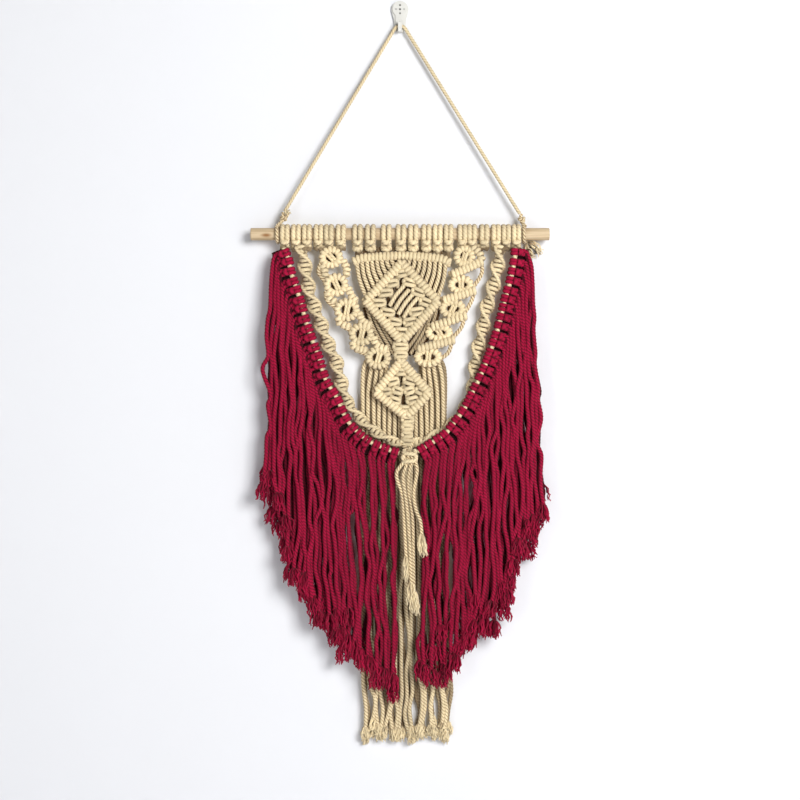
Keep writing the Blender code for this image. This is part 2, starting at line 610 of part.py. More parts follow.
def make_garland(side, finish):
    """Red lark's heads side by side on a slanting carrier, each leaving two strands of the fringe."""
    name = f"garland_{side}"
    rows = GARLANDS[name]
    outward = -1.0 if side == "left" else 1.0
    walk = along(rows, 2 * KNOTS_A_SIDE + 1)
    swell = np.where(np.arange(len(walk)) % 2 == 1, 1.0, 0.8)
    half = swell * GARLAND_WIDTH / 2 * MM
    parts = [sweep([place(*row) for row in walk], half, half * 0.86, 5, turn=-math.pi / 2)]
    for first, second in HEADS[name]:
        parts += larks_head(first, second)
        parts.append(tail_pair(first, second, rows[0][0], rows[0][1] + 2.0, rows[0][2]))
    roots = along(rows, 2 * STRANDS_A_SIDE + 1)[1::2]
    first_x, last_x = HANG_X[name]
    hem = np.array(HEMS[name])
    for i, (x, drop, y) in enumerate(roots):
        share = i / (STRANDS_A_SIDE - 1)
        hang = first_x + (last_x - first_x) * share
        layer = y + FRINGE_LAYERS[i % 3]
        spread = hang - x
        wave = 0.8 * math.sin(2.4 * i)
        fall = float(np.interp(hang, hem[:, 0], hem[:, 1])) + 5.0 * math.sin(1.7 * i) - drop
        parts.append(strand([
            (x, drop, y), (x + spread * 0.45 + outward * 2.0, drop + 18.0, (y + layer) / 2),
            (x + spread * 0.85 + wave, drop + 78.0, layer), (hang - wave, drop + 0.62 * fall, layer),
            (hang + wave, drop + fall, layer)]))
    fused(name, parts, finish)


def make_back_fringe(finish):
    """Straight natural cords behind the middle, their roots fused into a strip under the small diamond."""
    strip = along([(*point, BACK_STRIP_Y) for point in BACK_STRIP], 17)
    parts = [sweep([place(*row) for row in strip], 3.0 * MM, 2.2 * MM, 4, turn=math.pi / 4)]
    for i in range(BACK_STRANDS):
        share = i / (BACK_STRANDS - 1)
        x = BACK_STRIP[0][0] + (BACK_STRIP[-1][0] - BACK_STRIP[0][0]) * share
        drop = float(np.interp(x, [p[0] for p in BACK_STRIP], [p[1] for p in BACK_STRIP]))
        end_x = 6.5 + (x - 3.5) * 1.06 + 0.4 * math.sin(3.1 * i)
        y = BACK_FRINGE_Y + (0.9 if i % 2 else -0.9)
        bottom = BACK_BOTTOM + 7.0 * math.sin(2.2 * i) - 6.0 * abs(share - 0.5)
        parts.append(strand([(x, drop, y), (end_x, bottom, y)], CORD - 1.2))
    fused("back_fringe", parts, finish)


def make_front_tassel(finish):
    """The knot in front of the garlands' meeting point, with its loose cords."""
    x, drop, width, height = TASSEL_KNOT
    parts = [square_knot(x, drop, width, height, TASSEL_Y, 9.0)]
    for offset in (-2.6, 2.6):
        parts.append(cord([(7.2 + offset, 446.9, -15.0), (8.0 + offset, 447.8, -20.0),
                           (x + offset, drop - 6.0, TASSEL_Y)], 4))
    for rows in TASSEL_CORDS:
        parts.append(cord(rows, 7))
    fused("front_tassel", parts, finish)


def main():
    for obj in list(bpy.data.objects):
        bpy.data.objects.remove(obj, do_unlink=True)
    natural = material("natural_cotton_cord", (0.80, 0.69, 0.47), 0.9)
    red = material("crimson_cotton_cord", (0.40, 0.005, 0.04), 0.9)
    wood = material("pale_wood", (0.72, 0.50, 0.27), 0.6)
    plastic = material("white_plastic", (0.88, 0.87, 0.84), 0.35)
    make_hook(plastic)
    make_dowel(wood)
    make_hanging_cord(natural)
    for side in ("left", "right"):
        make_hanger_loop(side, natural)
        make_spiral(f"spiral_{side}", natural)
        make_ring_column(f"ring_column_{side}", natural)
        make_garland(side, red)
    make_center_panel(natural)
    make_back_fringe(natural)
    make_front_tassel(natural)


main()
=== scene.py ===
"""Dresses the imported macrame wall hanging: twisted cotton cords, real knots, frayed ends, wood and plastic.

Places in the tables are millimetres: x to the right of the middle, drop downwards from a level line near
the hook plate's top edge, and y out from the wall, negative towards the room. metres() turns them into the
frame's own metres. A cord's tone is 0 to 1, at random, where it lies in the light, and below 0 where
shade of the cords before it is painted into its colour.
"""

import math

import bpy
import numpy as np
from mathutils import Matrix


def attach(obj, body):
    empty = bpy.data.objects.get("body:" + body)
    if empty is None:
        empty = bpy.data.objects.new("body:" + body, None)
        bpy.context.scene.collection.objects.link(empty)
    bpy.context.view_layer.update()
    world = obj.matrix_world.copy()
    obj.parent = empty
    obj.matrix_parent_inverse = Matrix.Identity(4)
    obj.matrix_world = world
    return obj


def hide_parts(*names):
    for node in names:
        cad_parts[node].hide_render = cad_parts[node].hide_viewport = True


bl_info = {
    "name": "Macrame Wall Hanging",
    "version": (1, 0, 0),
    "blender": (4, 5, 0),
    "location": "3D View > Sidebar > Macrame",
    "description": "Builds a knotted cotton wall hanging with its dowel, cord and hook",
    "category": "Mesh",
}

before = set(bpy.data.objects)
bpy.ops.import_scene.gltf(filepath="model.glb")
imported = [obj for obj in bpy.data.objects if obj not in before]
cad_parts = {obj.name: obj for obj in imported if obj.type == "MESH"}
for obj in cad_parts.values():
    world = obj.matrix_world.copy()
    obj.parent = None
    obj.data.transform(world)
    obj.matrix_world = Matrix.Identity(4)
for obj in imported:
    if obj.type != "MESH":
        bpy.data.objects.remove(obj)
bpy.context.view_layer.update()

MM = 0.001
DATUM = 7.0                       # the level line lies this far above the origin
FRONT = np.array([0.0, 0.0, -1.0])
GROOVE = 0.82                     # the plies' grooves, as a share of a loose cord's radius
BEHIND = -2.6                     # the lowest tone: painted deep shade, for a cord that lies behind others
TAILS = 245.0                     # drop below which the heads' tails are painted in shade
TAILS_MEET = 249.0                # drop at which they go in behind what hangs below
WALL_GAP = 0.4                    # the least room between a cord and the wall

# The stage, metres
PICTURE = 0.8                     # width and height that the camera shows at the panel
CAMERA_REACH = 1.9                # from the camera to the panel
ROOM = 3.0                        # half the width of the wall and the floor
FLOOR, CEILING = -0.95, 1.4       # heights of the wall's lower and upper edge
WALL_BACK = 0.0006                # from the hook's plate back to the wall
# Lamps: place, width and power in watts
LAMPS = {"key": ((1.0, -2.0, 0.2), 1.0, 62), "fill": ((-1.3, -1.9, -0.2), 0.9, 9),
         "behind": ((0.4, 1.9, 0.2), 1.5, 20)}

# Radii of the cord as it lies in the knots
HEADING = 2.72                    # flattened on the dowel
HEAD_CORD = 2.5                   # as far as a head's own loops are set by it
KNOT_CORD = 2.15                  # in a square knot
RING_CORD = 2.3                   # wound into a ring
CROSSING_CORD = 1.85              # across a ring's middle

# How the knots are made
RING_BODY = 1.75                  # radius that a ring's cord is wound at
RING_TURNS = 0.56                 # its turns for each millimetre of the half width and half height together
HALF_KNOT_PITCH = 4.7             # from one half knot of a spiral to the next
HALF_KNOT_DEPTH = 0.56            # a spiral's depth as a share of its width
TURN_POINTS = 14                  # places for each turn of a wound cord
SWING = 0.75                      # its sway along the bar, as a share of pitch / 2 pi
HEAD_SAG = 0.35                   # cord radii from the circle round the dowel down to a head's bight
RED_HEAD = (3.1, 2.25, 0.85)      # a red head's own bar radius, cord radius and sag
RED_BACKING = (4.0, 7.6, 11.2)    # how far below a garland's carrier the cords behind its knots lie, in painted shade

# Wrapped bars: pitch, reach in the wall's plane, depth
LINK_WRAP = (4.1, 2.2, 2.2)
RIGHT_LINK_WRAP = (4.1, 2.3, 2.3)
BAND_WRAP = (4.0, 2.8, 2.6)
BAR_WRAP = (3.8, 2.7, 2.2)
DIAMOND_WRAP = (4.0, 2.7, 2.6)

# The upper halves of a square knot's two cords: shares of the half width and half height, and the depth
KNOT_FRONT = [(-0.80, -1.9, -2.0), (-0.96, -1.3, 0.4), (-0.60, -1.02, 2.5), (0.0, -0.96, 3.1),
              (0.55, -0.9, 2.7), (0.96, -0.62, 1.2), (1.0, 0.0, 0.4)]
KNOT_BACK = [(0.80, -1.9, -2.6), (0.90, -1.1, -0.6), (0.4, -0.6, -2.6), (-0.5, -0.4, -2.4),
             (-1.0, -0.42, 0.2), (-1.08, 0.0, 2.3)]

# Sizes shared with the solids, millimetres
DOWEL_DROP = 234.0
DOWEL_Y = -11.9
DOWEL_RADIUS = 6.2
PANEL_Y = -14.0
CORD_Y = -5.9
APEX_DROP = 24.4
APEX_RADIUS = 6.5
CORD_ENDS = {"left": (-115.6, 211.4, -11.0), "right": (119.9, 213.4, -11.0)}
END_KNOTS = {"left": (-116.6, 216.8, -11.4), "right": (121.6, 218.4, -11.4)}
LOOP_X = {"left": -122.4, "right": 124.0}
PIN_X, PIN_DROP = 0.0, 7.0        # the hook's middle pin hollow
PIN_OFFSET = 4.1                  # from it to the four round it
# The hollows: steps of the offset to the right and up, and the painted shade in each
PIN_HOLLOW_SHADES = [(0, 0, "#3C3B38"), (0, 1, "#5E5D59"), (0, -1, "#6C6B66"),
               (1, 0, "#A5A49F"), (-1, 0, "#A5A49F")]
WOOD_KNOT = (-0.1335, -0.018, -0.2285)      # the dark knot on the dowel, metres of the frame

# Lark's heads on the dowel: the two wraps of each
HEADS = {
    "garland_left": [(-117.4, -112.6)],
    "spiral_left": [(-106.4, -101.4), (-95.6, -90.6)],
    "ring_column_left": [(-83.8, -79), (-73.6, -68.7), (-61.7, -56.5)],
    "center_panel": [(-45.2, -39.8), (-32.4, -26.8), (-16.5, -11), (-1.8, 3.6),
                     (10.6, 15.9), (23.8, 28.9), (35, 40.1), (46, 50.8)],
    "ring_column_right": [(59.9, 64.8), (69.5, 74.4), (81.8, 86.7)],
    "spiral_right": [(93.6, 98.3), (103.7, 108.4)],
    "garland_right": [(113.9, 118.6)],
}

# Spiral sinnets: x, drop, y, half width
SPIRALS = {
    "spiral_left": [
        (-99, 246, -16, 5.4), (-97, 255, -14, 6.2), (-94, 273, -11, 6.3),
        (-90, 295, -9.5, 6.3), (-81, 319, -9, 6.3), (-73, 342, -9, 6.3),
        (-64, 362, -9.6, 6.2), (-58.5, 384, -11.5, 6), (-53.5, 400, -13, 5.4),
        (-46, 411.5, -13.4, 5), (-37, 421.5, -13.4, 4.6), (-28, 429.5, -13.2, 4.4),
        (-17, 436.5, -13.2, 4.2), (-6, 441.5, -13.2, 3.6),
    ],
    "spiral_right": [
        (100.5, 246, -16, 5.4), (99, 255, -14, 6.2), (97, 272, -11, 6.3),
        (91.5, 293, -9.5, 6.3), (86, 312, -9, 6.3), (82.5, 332, -8.6, 6.3),
        (78, 351, -8.4, 6.2), (75, 370, -8.2, 5.8), (71.5, 391, -9, 4.8),
        (62.5, 410, -11, 4.3), (53, 422, -12.4, 4), (42.5, 431, -13, 4),
        (33, 436, -13.2, 3.8), (21.5, 441, -13.2, 3.6),
    ],
}

# Where the spirals' ends go into the middle sinnet
SPIRAL_TIPS = {"spiral_left": (1.5, 443, -13.4, 3.6), "spiral_right": (13, 443, -13.4, 3.6)}

# Wrapped rings of the side columns: x, drop, half width, half height
RINGS = {
    "ring_column_left": [
        (-69, 257.4, 12.6, 11.8), (-64, 284.8, 13, 12.4), (-53.2, 309.8, 13.4, 12.4),
        (-38.6, 334.2, 13.2, 12.4), (-21.8, 357.8, 13.4, 12.2),
    ],
    "ring_column_right": [
        (64.4, 256.4, 11.6, 12), (60.8, 284.8, 13.4, 10.6), (52.6, 308.8, 13.8, 10.8),
        (39, 332.6, 14.2, 10), (28, 357, 14.6, 10.8),
    ],
}
# Slanting bars under the right column's rings
BANDS = [((82, 261.5), (51, 275.5)), ((75, 290.5), (42, 301)),
         ((66, 315.6), (30, 327.6)), ((54, 339.6), (16.5, 350))]
# Wrapped cord that closes the right column's first ring to its bar's upper end
RIGHT_LINK = ((72.5, 247.5), (79.5, 253.5), (82, 261.5))
# Loops of cord along the columns' outer edges
EDGE_LOOPS = {
    "ring_column_left": [
        ((-79, 262), (-81.5, 272), (-75, 282)), ((-74.5, 291), (-72.6, 300.5), (-63.5, 308.5)),
        ((-63, 317), (-57, 326), (-48.5, 331)), ((-48, 341), (-42.5, 350.5), (-32.5, 354.5)),
    ],
    "ring_column_right": [
        ((81.5, 263), (81.5, 274), (72, 289)), ((74, 291), (71.5, 301), (63.5, 315)),
        ((64.5, 317), (61, 328), (50.5, 340)), ((52, 342), (48, 353), (38, 360)),
    ],
}

# The middle panel
HORIZONTAL_BAR = [(-46.3, 261.6), (-41, 259), (-33, 257.6), (-2, 255.8), (23, 256.8),
                  (40, 258.6), (46, 260.4), (50, 263.4)]
BIG_DIAMOND = {"top": (1.5, 262.8), "left": (-34, 301), "right": (38, 301.4), "bottom": (1.5, 342)}
SMALL_DIAMOND = {"top": (1, 361), "left": (-24, 392.5), "right": (29, 393), "bottom": (6.4, 417)}
FAN_CORDS = 8
# Square knots: x, drop, width, height, lean in degrees
SQUARE_KNOTS = [
    (1.9, 273.6, 14, 9.2, -10), (-8, 283.4, 15.4, 9.4, -12), (9.6, 282.6, 15.4, 9.4, 14),
    (-14.6, 292.9, 17, 9.4, -6), (18.4, 292.5, 15.8, 9.6, 20), (-21.4, 303, 16.4, 9.6, -2),
    (25.6, 302.4, 14.6, 9.8, 20), (-12.6, 312.4, 16.4, 9.6, 8), (16.9, 311.8, 17, 10, -12),
    (-5.2, 321.8, 15.4, 9.4, 10), (10.2, 321.6, 15.4, 9.4, -12), (2, 332, 16.4, 10, 0),
    (1.2, 372, 12.4, 9, 0), (-7, 381.4, 14, 9.6, -14), (9.4, 381.2, 14.4, 9.6, 20),
    (-14.2, 391.6, 13.2, 9.6, -8), (-2.4, 390.6, 13, 9.4, 16), (9.4, 390.6, 12.6, 9.4, -18),
    (20, 391, 12, 9.2, 30), (-5.6, 400.6, 14.4, 9.6, 16), (12.6, 400.4, 14.4, 9.6, -16),
    (4, 409, 14, 8.8, 0),
    (0.6, 346.6, 17, 9.2, 0), (0.9, 354.8, 15, 9, 0), (7.8, 419.6, 14.2, 8.8, 0), (7.4, 427.2, 13.6, 8.6, 0),
    (7.2, 434.8, 12.8, 8.6, 0), (7.2, 442.4, 15.5, 8.8, 4),
]
CENTRE_CORDS = [((4.1, 285.7), (-10.6, 306.1)), ((9.2, 289.5), (-5.5, 309.7)),
                ((13.6, 293.4), (-1.8, 314.4)), ((18.2, 297.2), (3.4, 317.8))]
# Cords that lie behind, between the ring columns and the diamonds, in painted shade: x, drop
BEHIND_CORDS = [((-33.5, 306), (-27.5, 326), (-13.5, 352)), ((-28, 313), (-20, 331), (-6.5, 354)),
                ((-21.5, 319), (-12.5, 336), (-1.5, 352)), ((37.5, 306), (31.5, 326), (17.5, 349)),
                ((32, 313), (24, 331), (10.5, 354)), ((25.5, 319), (16.5, 336), (5, 352))]

# Garlands: x, drop, y along the carrier, outer end first
GARLANDS = {
    "garland_left": [
        (-116, 248.5, -18), (-111, 261, -19.6), (-108, 275, -20.5), (-99.5, 300.5, -21),
        (-94, 321, -21), (-87, 341.5, -21), (-80.5, 359, -21), (-74, 380, -21.2),
        (-63.5, 397, -21.6), (-54.4, 417, -22), (-44.4, 430, -22.4), (-31, 441, -22.8),
        (-14, 448.5, -23), (-1, 453, -23),
    ],
    "garland_right": [
        (115.5, 248.5, -18), (114, 262, -19.6), (110, 281, -20.5), (105, 299, -21),
        (100.7, 317, -21), (96, 334, -21), (90, 352, -21), (82, 372, -21.2),
        (73, 391, -21.6), (65, 407, -22), (56, 420, -22.2), (45, 433.5, -22.6),
        (31, 443, -22.8), (17.5, 451.5, -23),
    ],
}
HANG_X = {"garland_left": (-135.5, -1.5), "garland_right": (141, 19)}
# Depth and tone of the red strands, in turn: a deeper strand gets a tone below 0, painted shade
LAYERS = [(-25, 0.9), (-16.5, -1.9), (-24, 0.5), (-19.5, -1.2), (-25.4, 0.8), (-16.5, -1.9), (-20.5, -0.5)]
ONE_LAYER = [(-21, -0.3), (-23.5, 0.6)]    # the same near the middle, where the strands lie side by side
UNDER = (-14.5, -2)               # depth and tone of the strands that lie behind them, in painted deep shade
# How a red strand falls, by the drop below its knot
BEND_PITCH = 17.0                 # from one of its small bends to the next
EASE = 50.0                       # drop in which it gets into its layer and its full sway
TURN, TURN_SHARE = 14.0, 0.34     # drop in which it leaves its knot, and the share of its way gone by then
FALL, FALL_SHARE = 230.0, 0.66    # drop in which it goes the rest
# Where the red strands end: x, drop
HEMS = {
    "garland_left": [(-143, 468), (-136, 500), (-121, 534), (-112, 556), (-100, 592),
                     (-80, 622), (-67, 638), (-58, 647), (-45, 660), (-30, 676),
                     (-22, 685), (-4, 690)],
    "garland_right": [(20, 686), (51, 677), (59, 669), (68, 650), (80, 636), (90, 621),
                      (103, 611), (112, 583), (119, 560), (135, 536), (142, 517),
                      (149, 494)],
}

# The natural fringe behind: where its cords start
BACK_STRIP = [(-37, 366), (-31, 384), (-23, 399), (-9, 411), (6.4, 421),
              (21, 411), (30.5, 399), (38, 384), (45, 367)]
BACK_BOTTOM = 741

# Front tassel
TASSEL_KNOT = (9.6, 457, 16.5, 12)
TASSEL_Y = -28
TASSEL_CORDS = [
    [(3.5, 461, -28), (-3, 471, -30.5), (-2.5, 480, -31), (2, 494, -31), (4, 520, -31),
     (6, 556, -31)],
    [(7.5, 461, -28), (3, 475, -31.5), (4.5, 490, -33), (7, 510, -33), (9.5, 545, -32),
     (11, 582, -31)],
    [(11.5, 461, -28), (8.5, 475, -31), (8.5, 492, -30.5), (12, 515, -30), (13, 550, -30),
     (13.5, 590, -30)],
    [(15.5, 461, -28), (16.8, 471, -30.5), (13.5, 492, -33), (15.5, 508, -33),
     (20, 520, -33), (21.5, 534, -32)],
]


# ---------------------------------------------------------------- sizes and colours that a user may change

def length_property(name, description, value):
    """A length property, whose default is in metres."""
    return bpy.props.FloatProperty(
        name=name, description=description, default=value, unit="LENGTH", subtype="DISTANCE")


def colour_property(name, description, value):
    """A colour property whose default is an sRGB hex value."""
    return bpy.props.FloatVectorProperty(
        name=name, description=description, default=srgb(value)[:3], size=3, min=0.0, max=1.0,
        subtype="COLOR")


def srgb(value):
    """An sRGB hex colour as linear red, green, blue and alpha: each channel through the sRGB curve."""
    channel = np.array([int(value[i:i + 2], 16) for i in (1, 3, 5)]) / 255
    linear = np.where(channel <= 0.04045, channel / 12.92, ((channel + 0.055) / 1.055) ** 2.4)
    return (*(float(v) for v in linear), 1.0)


class HangingSizes(bpy.types.PropertyGroup):
    """Sizes of the cords and their fraying."""

    cord: length_property("Cord", "Diameter of the macrame cord", 0.0047)
    hanging_cord: length_property("Hanging cord", "Diameter of the cord that goes over the hook", 0.0038)
    lay: length_property("Lay", "Length of one full turn of the three plies", 0.0100)
    fray: length_property("Fray", "Length of the untwisted fibres at a cut end", 0.018)
    red_knots: bpy.props.IntProperty(
        name="Red knots", description="Red lark's heads on each garland", default=25, min=5, max=40)
    back_cords: bpy.props.IntProperty(
        name="Back cords", description="Natural cords that hang behind the middle", default=32, min=4, max=40)


class HangingColours(bpy.types.PropertyGroup):
    """Colours of the cords, the dowel and the hook."""

    natural: colour_property("Natural", "Unbleached cotton on the plies' crowns", "#DDCBA4")
    # The two shade colours are painted shade: in the plies' grooves, on the cords' sides and on cords behind
    # others
    natural_painted_shade: colour_property("Natural shade", "Unbleached cotton between the plies", "#704A22")
    crimson: colour_property("Crimson", "Dyed cotton on the plies' crowns", "#990B34")
    crimson_painted_shade: colour_property("Crimson shade", "Dyed cotton between the plies", "#3A020D")
    wood: colour_property("Wood", "The dowel's pale wood", "#CDB998")
    wood_grain: colour_property("Wood grain", "The darker lines of the dowel's grain", "#A48A66")
    plastic: colour_property("Plastic", "The hook's moulded plastic", "#CBCAC4")


# ---------------------------------------------------------------- lines

def unit(rows):
    """Rows made one long."""
    return rows / np.linalg.norm(rows, axis=-1, keepdims=True)


def at(points, y):
    """Places of x and drop, all at the depth y."""
    return [(*point, y) for point in points]


def runs(rows):
    """How far along its line each row lies."""
    steps = np.linalg.norm(np.diff(np.asarray(rows, dtype=float)[:, :3], axis=0), axis=1)
    return np.concatenate([[0.0], np.cumsum(steps)])


def walk(points, step=None, count=None):
    """An even walk along the smooth curve through the rows. Each stretch is the cubic that leaves a row
    along the chord of its two neighbours; the places are then spaced evenly over the length of the first
    three columns."""
    rows = np.asarray(points, dtype=float)
    rows = np.vstack([2 * rows[0] - rows[1], rows, 2 * rows[-1] - rows[-2]])
    t = np.linspace(0.0, 1.0, 12, endpoint=False)[None, :, None]
    a, b, c, d = rows[:-3, None], rows[1:-2, None], rows[2:-1, None], rows[3:, None]
    fine = 0.5 * (2 * b + (c - a) * t + (2 * a - 5 * b + 4 * c - d) * t**2 + (3 * b - a - 3 * c + d) * t**3)
    fine = np.vstack([fine.reshape(-1, rows.shape[1]), rows[-2]])
    run = runs(fine)
    count = count or max(2, 1 + round(run[-1] / step))
    places = np.linspace(0.0, run[-1], count)
    return np.stack([np.interp(places, run, column) for column in fine.T], axis=1)


def directions(line):
    """The direction of a line at each row, and the one square to it in the wall's plane."""
    tangent = unit(np.gradient(np.asarray(line, dtype=float), axis=0))
    return tangent, unit(np.cross(tangent, FRONT))


def leaning(angle):
    """The directions across and down of a knot that leans by angle."""
    return (math.cos(angle), math.sin(angle), 0.0), (-math.sin(angle), math.cos(angle), 0.0)


def placed(local, centre, across, down):
    """Rows of a knot's own frame carried to their place: centre + u across + v down + w front."""
    return np.asarray(centre, dtype=float) + np.asarray(local, dtype=float) @ np.array([across, down, FRONT])


def there_and_back(half, mirror):
    """A line through the rows of half, and from the last one back through their mirror image."""
    half = np.array(half, dtype=float)
    return np.vstack([half, half[-2::-1] * mirror])


def coil(rows, pitch, across, deep):
    """A cord wound round a line: the line's place plus across times the cosine of the winding angle, in
    the wall's plane, and deep times its sine, to the front. A sway along the line sets the turns' fronts
    upright to it and leaves their slant to the back."""
    turns = max(1, round(runs(walk(rows, step=1.0))[-1] / pitch))
    centre = walk(rows, count=turns * TURN_POINTS + 1)[:, :3]
    tangent, side = directions(centre)
    angle = 2 * math.pi * turns * np.linspace(0.0, 1.0, len(centre))[:, None]
    return (centre + side * across * np.cos(angle) + FRONT * deep * np.sin(angle)
            + tangent * SWING * pitch / (2 * math.pi) * np.cos(angle))


def ring_line(x, drop, half_width, half_height):
    """A cord wound round an oval: the oval's place plus RING_BODY times the winding's cosine outwards and
    its sine to the front. The oval lies in from the ring's edge by RING_BODY and nearly the cord's
    radius."""
    turns = round(RING_TURNS * (half_width + half_height))
    t = np.linspace(0.0, 2 * math.pi, turns * 12 + 1)
    wind = (turns * t)[:, None]
    t = t + np.cos(turns * t) / turns
    out = np.stack([np.cos(t), np.sin(t), np.zeros(len(t))], axis=1)
    inset = RING_BODY + 0.92 * RING_CORD
    return (np.array([x, drop, PANEL_Y]) + out * (half_width - inset, half_height - inset, 0)
            + RING_BODY * (out * np.cos(wind) + 1.05 * FRONT * np.sin(wind)))


def larks_head(half, bar, thick, sag):
    """The line of a lark's head in its own frame: u along the bar, v the way it hangs, w to the front.
    Each leg goes up in front of the bar on a circle of radius bar, over the top and down behind; the
    bight comes forward under the bar and crosses in front of both legs, about sag cord radii below
    the circle."""
    turn = np.radians([315, 285, 250, 215, 180, 135, 90, 50, 20])
    front = 0.4 * bar + 1.8 * thick
    tail = [(1.1 * half, bar + 3.0 * thick, 0.4 * thick), (half, bar + 1.2 * thick, 0.4 * thick)]
    leg = np.stack([np.full(len(turn), half), bar * np.cos(turn), -bar * np.sin(turn)], axis=1)
    hook = [(half, bar + (sag - 0.1) * thick, 0.0),
            (half + 0.1 * thick, bar + (sag - 0.3) * thick, 0.5 * front),
            (0.75 * half, bar + (sag - 0.1) * thick, front - 0.1 * thick)]
    bight = (0.0, bar + (sag + 0.3) * thick, front)
    return there_and_back(np.vstack([tail, leg, hook, bight]), (-1, 1, 1))


def square_knot(x, drop, width, height, lean, y):
    """Two half knots: one cord crosses the front twice as a C that opens to the left, the other is its
    mirror image behind the core, and at each side the one hooks round the other."""
    size = (width / 2 - KNOT_CORD, height / 2 - KNOT_CORD, 1.0)
    across, down = leaning(math.radians(lean))
    return [placed(there_and_back(half, (1, -1, 1)) * size, (x, drop, y), across, down)
            for half in (KNOT_BACK, KNOT_FRONT)]


def half_knots(rows, pitch, turn_each):
    """The cords of a half-knot sinnet along rows of x, drop, y, reach. The knots are rungs upright to the
    line, one for each pitch, round an oval as wide as the reach, which turns on by turn_each from knot to
    knot; a side cord runs down each end of the oval, where the working cords hook round each other."""
    knots = max(1, round(runs(rows)[-1] / pitch))
    line = walk(rows, count=knots * TURN_POINTS + 1)
    centre, wide, deep = line[:, :3], line[:, 3], HALF_KNOT_DEPTH * line[:, 3]
    tangent, side = directions(centre)
    share = np.linspace(0.0, knots, len(line))
    wind, turned = 2 * math.pi * share, turn_each * share
    reach = wide * deep / np.hypot(deep * np.cos(wind - turned), wide * np.sin(wind - turned))

    def round_at(radius, angle):
        return centre + side * (radius * np.cos(angle))[:, None] + FRONT * (radius * np.sin(angle))[:, None]

    rungs = round_at(reach, wind) + tangent * (pitch / (2 * math.pi) * np.cos(wind))[:, None]
    return rungs, [round_at(wide + 1.3, turned + start)[::4] for start in (0.0, math.pi)], centre


# ---------------------------------------------------------------- meshes

def metres(rows):
    """Rows of x, drop, y in mm as points of the frame in metres."""
    rows = np.asarray(rows, dtype=float)
    return np.stack([rows[:, 0], rows[:, 2], DATUM - rows[:, 1]], axis=1) * MM


def carried_frames(tangent):
    """A side direction at each place that never spins about the line: the small turns from each tangent
    to the next are multiplied up in doubling steps, and the product is applied to the first side."""
    a, b = tangent[:-1], tangent[1:]
    axis = np.cross(a, b)
    cross = np.zeros((len(a), 3, 3))
    cross[:, 0, 1], cross[:, 0, 2], cross[:, 1, 2] = -axis[:, 2], axis[:, 1], -axis[:, 0]
    cross -= cross.transpose(0, 2, 1)
    lean = 1 / (1 + np.clip((a * b).sum(1), -0.95, 1.0))
    turns = np.eye(3) + cross + cross @ cross * lean[:, None, None]
    total = np.concatenate([np.eye(3)[None], turns])
    shift = 1
    while shift < len(total):
        total[shift:] = total[shift:] @ total[:-shift]
        shift *= 2
    seed = np.eye(3)[np.argmin(np.abs(tangent[0]))]
    side = total @ unit(np.cross(tangent[0], seed))
    side = unit(side - (side * tangent).sum(1, keepdims=True) * tangent)
    return side, np.cross(tangent, side)


def tube_faces(rings, sides):
    """The four-cornered faces of a tube, as numbers of its points, ring after ring."""
    i, j = np.meshgrid(np.arange(rings - 1), np.arange(sides), indexing="ij")
    first, second = i * sides + j, i * sides + (j + 1) % sides
    return np.stack([first, second, second + sides, first + sides], axis=-1).reshape(-1, 4)


